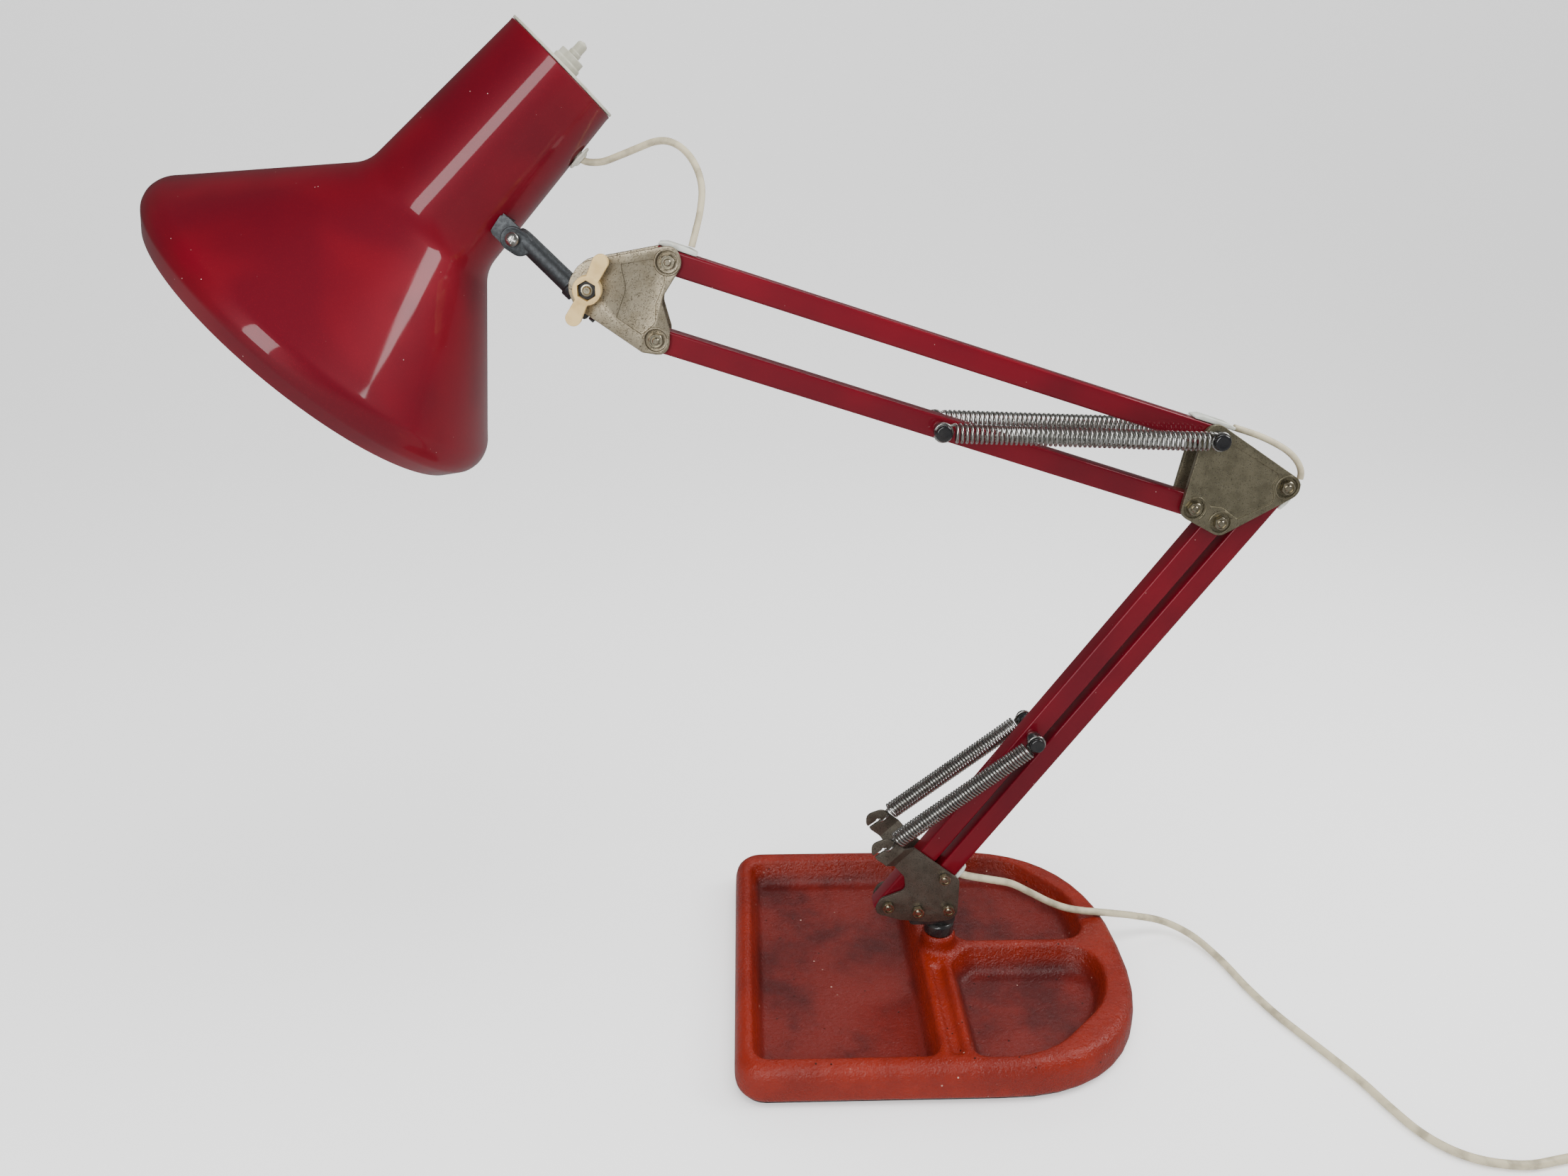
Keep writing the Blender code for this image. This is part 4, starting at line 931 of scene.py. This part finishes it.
def pivot_fastener(node, centre, face, turn):
    """One bolt through both plates, whose outer faces are face away from the middle."""
    front = centre - Vector((0, face, 0))
    back = centre + Vector((0, face, 0))
    nut = 2.8 * MM
    bored = hexagon("nut", front, nut, 6.6 * MM, turn)
    bore = [(0, 1.9), (2.7, 1.9), (2.9, 4), (0, 4)]
    cut(bored, turned("nut_bore", bore, front, (0, -1, 0), 32))
    parts = [
        bored,
        hexagon("bolt_head", back + Vector((0, nut, 0)), nut, 7 * MM, turn + 0.4),
        threaded_rod("shank", back + Vector((0, 1.0 * MM, 0)), (2 * face + nut) / MM + 1.5, 1.75)]
    return settle(join(parts, f"{node}_set"), nut_nickel, node, angle=30)


BRACKET_FACE = 8.5 * MM
ELBOW_FACE = 8.6 * MM
HEAD_FACE = 8.0 * MM
E1 = pivot["elbow_level"]
E2 = pivot["upper_link"]
E3 = pivot["lower_link"] + (E1 - pivot["lower_arm_lift"])
E0 = pivot["upper_arm_lift"]
H1 = pivot["head_level"]
H2 = E2 + (H1 - E0)
for node, centre, face, turn in (
        ("pivot_bolt_lower_front", pivot["lower_arm_lift"], BRACKET_FACE, 0.1),
        ("pivot_bolt_lower_rear", pivot["lower_link"], BRACKET_FACE, 0.5),
        ("block_bolt_left", Vector((-15.1, 0, 56.3)) * MM, BRACKET_FACE, 0.3),
        ("block_bolt_right", Vector((3.6, 0, 57.2)) * MM, BRACKET_FACE, 0.75),
        ("pivot_bolt_elbow_right", E1, ELBOW_FACE, 0.2),
        ("pivot_bolt_elbow_left", E2, ELBOW_FACE, 0.6),
        ("pivot_bolt_elbow_bottom", E3, ELBOW_FACE, 0.0),
        ("pivot_bolt_head_top", H1, HEAD_FACE, 0.35),
        ("pivot_bolt_head_bottom", H2, HEAD_FACE, 0.8)):
    pivot_fastener(node, centre, face, turn)

# %% The clamp's long bolt, with its nut sunk in the thumb nut
clamp_parts = [
    hexagon("clamp_head", WING + Vector((0, 12.5, 0)) * MM, 3 * MM, 7 * MM, 0.2),
    washer("clamp_ring", WING - Vector((0, 16.0, 0)) * MM, 2.9, 0.9),
    threaded_rod("clamp_shank", WING + Vector((0, 11, 0)) * MM, 29.0)]
settle(join(clamp_parts, "clamp_bolt_set"), nut_nickel, "clamp_bolt")

# A nut sits in the thumb nut's recess, and its black colour is painted shade that darkens the
# recess.
recess_shade_nut = hexagon("captive_nut", WING - Vector((0, 14.8, 0)) * MM, 1.5 * MM, 8.3 * MM, 0.0)
settle(recess_shade_nut, black_enamel, body="wing_nut", slot="black_metal")

# %% [markdown]
# ## Plates
#
# The bracket is stamped sheet, and the elbow and head plates are die-cast, with a sunk
# panel and a pocket for each nut. Their edges are rounded, and thin raised arcs round the
# pockets are added as part rings.

# %% Round the plates' edges and emboss them
def arc_ridge(centre, y, radius, start, end):
    """A raised arc on a plate's face at y, drawn round centre from start to end degrees."""
    count = max(6, round(abs(end - start) / 8))
    line = []
    for k in range(count + 1):
        angle = math.radians(start + (end - start) * k / count)
        out = radius * Vector((math.cos(angle), 0, math.sin(angle)))
        line.append(Vector((centre.x, y, centre.z)) / MM + out)
    return wire("ridge", line, 0.6, 3)


def plate_with_ridges(node, finish, face, ridges):
    """face is the outer face's y; ridges are (centre, radius, start, end)."""
    plate = softened(node, 0.35 * MM, 3, 40)
    parts = [plate] + [arc_ridge(c, face, r, a, b) for c, r, a, b in ridges]
    return settle(join(parts, f"{node}_piece"), finish, node, angle=40)


elbow_ridges = [(E1, 6.4, 75, 285), (E2, 6.4, -60, 110), (E3, 6.4, 20, 175)]
head_ridges = [(H1, 6.2, 120, 330), (H2, 6.2, 10, 170)]
for place, side in (("front", -1), ("rear", 1)):
    plate_with_ridges(f"elbow_{place}_plate", elbow_nickel, side * 9.75 * MM, elbow_ridges)
    plate_with_ridges(f"head_{place}_plate", plate_nickel, side * 9.15 * MM, head_ridges)
    bracket = softened(f"bracket_{place}_plate", 0.3 * MM, 3, 40)
    settle(bracket, bracket_steel, f"bracket_{place}_plate", angle=40)

# %% [markdown]
# ## Arms
#
# Each arm is a lacquered square tube. A cube is stretched to its length, its long edges
# are bevelled, and its ends are inset and pushed in to open the tube.

# %% Make a square tube between two pivots
def square_tube(node, start, end, drilled):
    way = (end - start).normalized()
    long = (end - start).length + 13 * MM
    deselect()
    bpy.ops.mesh.primitive_cube_add(size=1)
    tube = name_new(f"{node}_tube")
    tube.scale = (12 * MM, 12 * MM, long)
    apply_place(tube)
    bpy.ops.object.mode_set(mode="EDIT")
    mesh = bmesh.from_edit_mesh(tube.data)
    bpy.ops.mesh.select_mode(type="EDGE")
    bpy.ops.mesh.select_all(action="DESELECT")
    for edge in mesh.edges:
        a, b = (v.co for v in edge.verts)
        edge.select_set(abs(a.z - b.z) > 0.5 * long)
    bmesh.update_edit_mesh(tube.data)
    bpy.ops.mesh.bevel(offset=1.3 * MM, segments=5, affect="EDGES")
    pick_faces(tube, lambda face: abs(face.normal.z) > 0.9)
    bpy.ops.mesh.inset(thickness=1.0 * MM, use_individual=True)
    bpy.ops.mesh.extrude_region_move(TRANSFORM_OT_translate={"value": (0, 0, 0)})
    mesh = bmesh.from_edit_mesh(tube.data)
    for vert in mesh.verts:
        if vert.select:
            vert.co.z -= math.copysign(14 * MM, vert.co.z)
    bmesh.update_edit_mesh(tube.data)
    bpy.ops.object.mode_set(mode="OBJECT")
    turn = Matrix((way.cross(Vector((0, 1, 0))), Vector((0, 1, 0)), way)).transposed()
    tube.matrix_world = Matrix.Translation((start + end) / 2) @ turn.to_4x4()
    apply_place(tube)
    for place in drilled:
        deselect()
        bpy.ops.mesh.primitive_cylinder_add(vertices=32, radius=2.3 * MM, depth=20 * MM,
                                            location=place, rotation=(math.radians(90), 0, 0))
        cut(tube, name_new("drill"))
    return settle(tube, wine_lacquer, node, angle=40)


B1 = pivot["lower_arm_lift"]
B2 = pivot["lower_link"]
LOWER_KNOB = Vector((46.46, 0, 175.54)) * MM
UPPER_KNOB = Vector((-17.61, 0, 357.97)) * MM
square_tube("lower_front_bar", B1, E1, (B1, E1))
square_tube("lower_rear_bar", B2, E3, (B2, E3, LOWER_KNOB))
square_tube("upper_top_bar", E0, H1, (E0, H1))
square_tube("upper_bottom_bar", E2, H2, (E2, H2, UPPER_KNOB))

# %% Moulded clips that hold the cord
for node in ("lower_foot_clip", "lower_top_clip", "elbow_clip", "head_clip"):
    settle(softened(node, 0.8 * MM, 4), milky_plastic, node)

# %% [markdown]
# ## Springs and their bobbins
#
# Each spring is one wire: a loop on the bracket's hook or a bobbin, a close coil, and a
# loop round the next bobbin. The route is worked out turn by turn and given thickness.

# %% Wind a spring between two places
WIRE_R = 0.78
COIL_R = 4.55
BOBBIN_R = 3.9
SPRING_Y = 16


def spring(node, start, end, side, pitch, first_gap, last_gap, hook_first):
    """Coils from start to end on the front (-1) or rear (1) of the arm."""
    across = Vector((0, 1, 0))
    a = start / MM + across * SPRING_Y * side
    b = end / MM + across * SPRING_Y * side
    way = (b - a).normalized()
    out = way.cross(across)
    flat = across if hook_first else out
    loop_at = a + way * (2.6 if hook_first else 0)
    loop_r = BOBBIN_R + (0 if hook_first else WIRE_R)
    squash = 0.9 if hook_first else 1
    points = []
    for k in range(15):
        angle = math.radians(200 + 320 * k / 14)
        points.append(loop_at + loop_r * (math.cos(angle) * way * squash - math.sin(angle) * flat))
    points = points[::-1]
    coiled = (b - a).length - first_gap - last_gap
    turns = round(coiled / pitch)
    steps = 20
    coil = []
    for k in range(turns * steps + 1):
        angle = 2 * math.pi * k / steps
        side_way = math.cos(angle) * flat + math.sin(angle) * way.cross(flat)
        t = k / (turns * steps)
        coil.append(a + way * (first_gap + t * coiled) + COIL_R * side_way)
    begin = points[-1]
    middle = begin.lerp(coil[0], 0.45) + way * 0.3
    points += route_through([begin, middle, coil[0]], 1.0)[1:-1] + coil
    loop = []
    for k in range(17):
        angle = math.radians(125) - math.radians(330) * k / 16
        loop.append(b + (BOBBIN_R + WIRE_R) * (math.cos(angle) * way + math.sin(angle) * out))
    middle = coil[-1].lerp(loop[0], 0.5) + way * 0.4
    points += route_through([coil[-1], middle, loop[0]], 1.0)[1:-1] + loop
    piece = wire(f"{node}_wire", points, WIRE_R, 2)
    piece.data.materials.append(finish_for(bright_steel))
    bpy.ops.object.shade_smooth()
    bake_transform(piece)
    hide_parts(node)


HOOK = Vector((-37.7, 0, 107.0)) * MM
for place, side in (("front", -1), ("rear", 1)):
    spring(f"lower_{place}_spring", HOOK, LOWER_KNOB, side, 1.85, 8.5, 5.5,
           True)
    spring(f"upper_{place}_spring", UPPER_KNOB, E0, side, 2.6, 6, 6,
           False)


# %% Bobbins and the pins they sit on
def bobbin(node, centre, side):
    section = eased([
        (2.1, 10.1, 0), (4.5, 10.1, 0.4), (4.5, 14.4, 0.3), (3.8, 14.8, 0.2), (3.8, 17.1, 0.2),
        (4.4, 17.4, 0.2), (4.4, 18.8, 0.7), (3.4, 19.5, 0.5), (1.8, 19.3, 0.4), (0, 19.2, 0)])
    piece = turned(f"{node}_bobbin", section, centre, (0, side, 0), 48)
    return settle(piece, black_plastic, node)


for prefix, centre in (("lower", LOWER_KNOB), ("elbow", E0), ("upper", UPPER_KNOB)):
    bobbin(f"{prefix}_front_knob", centre, -1)
    bobbin(f"{prefix}_rear_knob", centre, 1)
    settle(softened(f"{prefix}_spring_pin", 0.2 * MM), bright_steel, f"{prefix}_spring_pin")

# %% [markdown]
# ## The cast tray
#
# Sand casting leaves no sharp corner anywhere. The solid part gets its shallow channel
# down the middle ridge, and is then remeshed and relaxed until each edge is a fillet.

# %% Cut the channel, then round the casting
RIDGE_CHANNEL = ((-3.2, -57, 26), (8, 76, 8))
casting = cast_from("base_casting", 1.5 * MM, 7, RIDGE_CHANNEL)
settle(casting, hammered_enamel, "base_casting", angle=60)
settle(copied("base_pad"), ground_rubber, "base_pad")
settle(softened("swivel_bush", 0.2 * MM), bright_steel, "swivel_bush")
settle(softened("swivel_post", 0.5 * MM), black_enamel, "swivel_post")
settle(softened("pivot_block", 0.6 * MM), black_enamel, "pivot_block")

# %% [markdown]
# ## Studio
#
# The lamp stands on a pale sweep of paper. Long soft boxes at the sides draw the tall
# streaks on the neck, and a broad one above lights the tray.

# %% Paper sweep
deselect()
bpy.ops.mesh.primitive_plane_add(size=1, location=(0, 0, -0.3 * MM))
sweep = name_new("paper_sweep")
sweep.scale = (9, 5, 1)
apply_place(sweep)
bpy.ops.object.mode_set(mode="EDIT")
mesh = bmesh.from_edit_mesh(sweep.data)
bpy.ops.mesh.select_mode(type="EDGE")
bpy.ops.mesh.select_all(action="DESELECT")
for edge in mesh.edges:
    edge.select_set(all(v.co.y > 2 for v in edge.verts))
bmesh.update_edit_mesh(sweep.data)
bpy.ops.mesh.extrude_region_move(TRANSFORM_OT_translate={"value": (0, 0, 4)})
bpy.ops.object.mode_set(mode="OBJECT")
modify(sweep, "BEVEL", width=1.2, segments=24, limit_method="ANGLE")
bpy.ops.object.shade_smooth()
paper = Finish("pale_paper", (0.93, 0.93, 0.93), 0.9)
paper.shader.inputs["Emission Color"].default_value = (1, 1, 1, 1)
paper.shader.inputs["Emission Strength"].default_value = 0.42
paper.feed(paper.mix((0.94, 0.94, 0.94), (0.92, 0.92, 0.92), paper.noise(0.4)))
sweep.data.materials.append(paper.material)


# %% Lights
def soft_box(name, place, aim, size, watts, roll=0.0, mirrored=True):
    """A soft box. One that isn't mirrored lights the lamp without showing in its gloss."""
    deselect()
    bpy.ops.object.light_add(type="AREA", location=place)
    lamp = bpy.context.active_object
    lamp.name = name
    facing = (Vector(aim) - Vector(place)).to_track_quat("-Z", "Y").to_matrix()
    lamp.rotation_euler = (facing @ Matrix.Rotation(math.radians(roll), 3, "Z")).to_euler()
    lamp.data.shape = "RECTANGLE"
    lamp.data.size, lamp.data.size_y = size
    lamp.data.energy = watts
    lamp.visible_glossy = mirrored


soft_box("box_window", (-0.42, -1.1, 0.72), (-0.25, 0, 0.5), (0.34, 1.1), 9, roll=-45)
soft_box("box_side", (0.95, 0.0, 1.05), (-0.3, 0, 0.43), (0.55, 0.6), 9)
soft_box("box_rear", (0.2, 1.3, 1.3), (0, 0, 0), (0.9, 0.15), 3)
soft_box("box_above", (0.1, -0.4, 1.7), (0, 0, 0.1), (1.3, 1.0), 24, mirrored=False)
sweep.visible_glossy = False
world = bpy.data.worlds.new("studio")
world.use_nodes = True
nodes = world.node_tree.nodes
fill = nodes["Background"]
fill.inputs["Color"].default_value = (1, 1, 1, 1)
rays = nodes.new("ShaderNodeLightPath")
sky = nodes.new("ShaderNodeTexCoord")
split = nodes.new("ShaderNodeSeparateXYZ")
mirrored = nodes.new("ShaderNodeMapRange")
dim = nodes.new("ShaderNodeMix")
for key, value in (("From Min", -0.25), ("From Max", 0.05), ("To Min", 0.35), ("To Max", 0.08)):
    mirrored.inputs[key].default_value = value
dim.inputs[2].default_value = 0.68
for start, end in ((sky.outputs["Generated"], split.inputs[0]),
                   (split.outputs["Z"], mirrored.inputs["Value"]),
                   (rays.outputs["Is Glossy Ray"], dim.inputs[0]),
                   (mirrored.outputs[0], dim.inputs[3]),
                   (dim.outputs[0], fill.inputs["Strength"])):
    world.node_tree.links.new(start, end)
bpy.context.scene.world = world
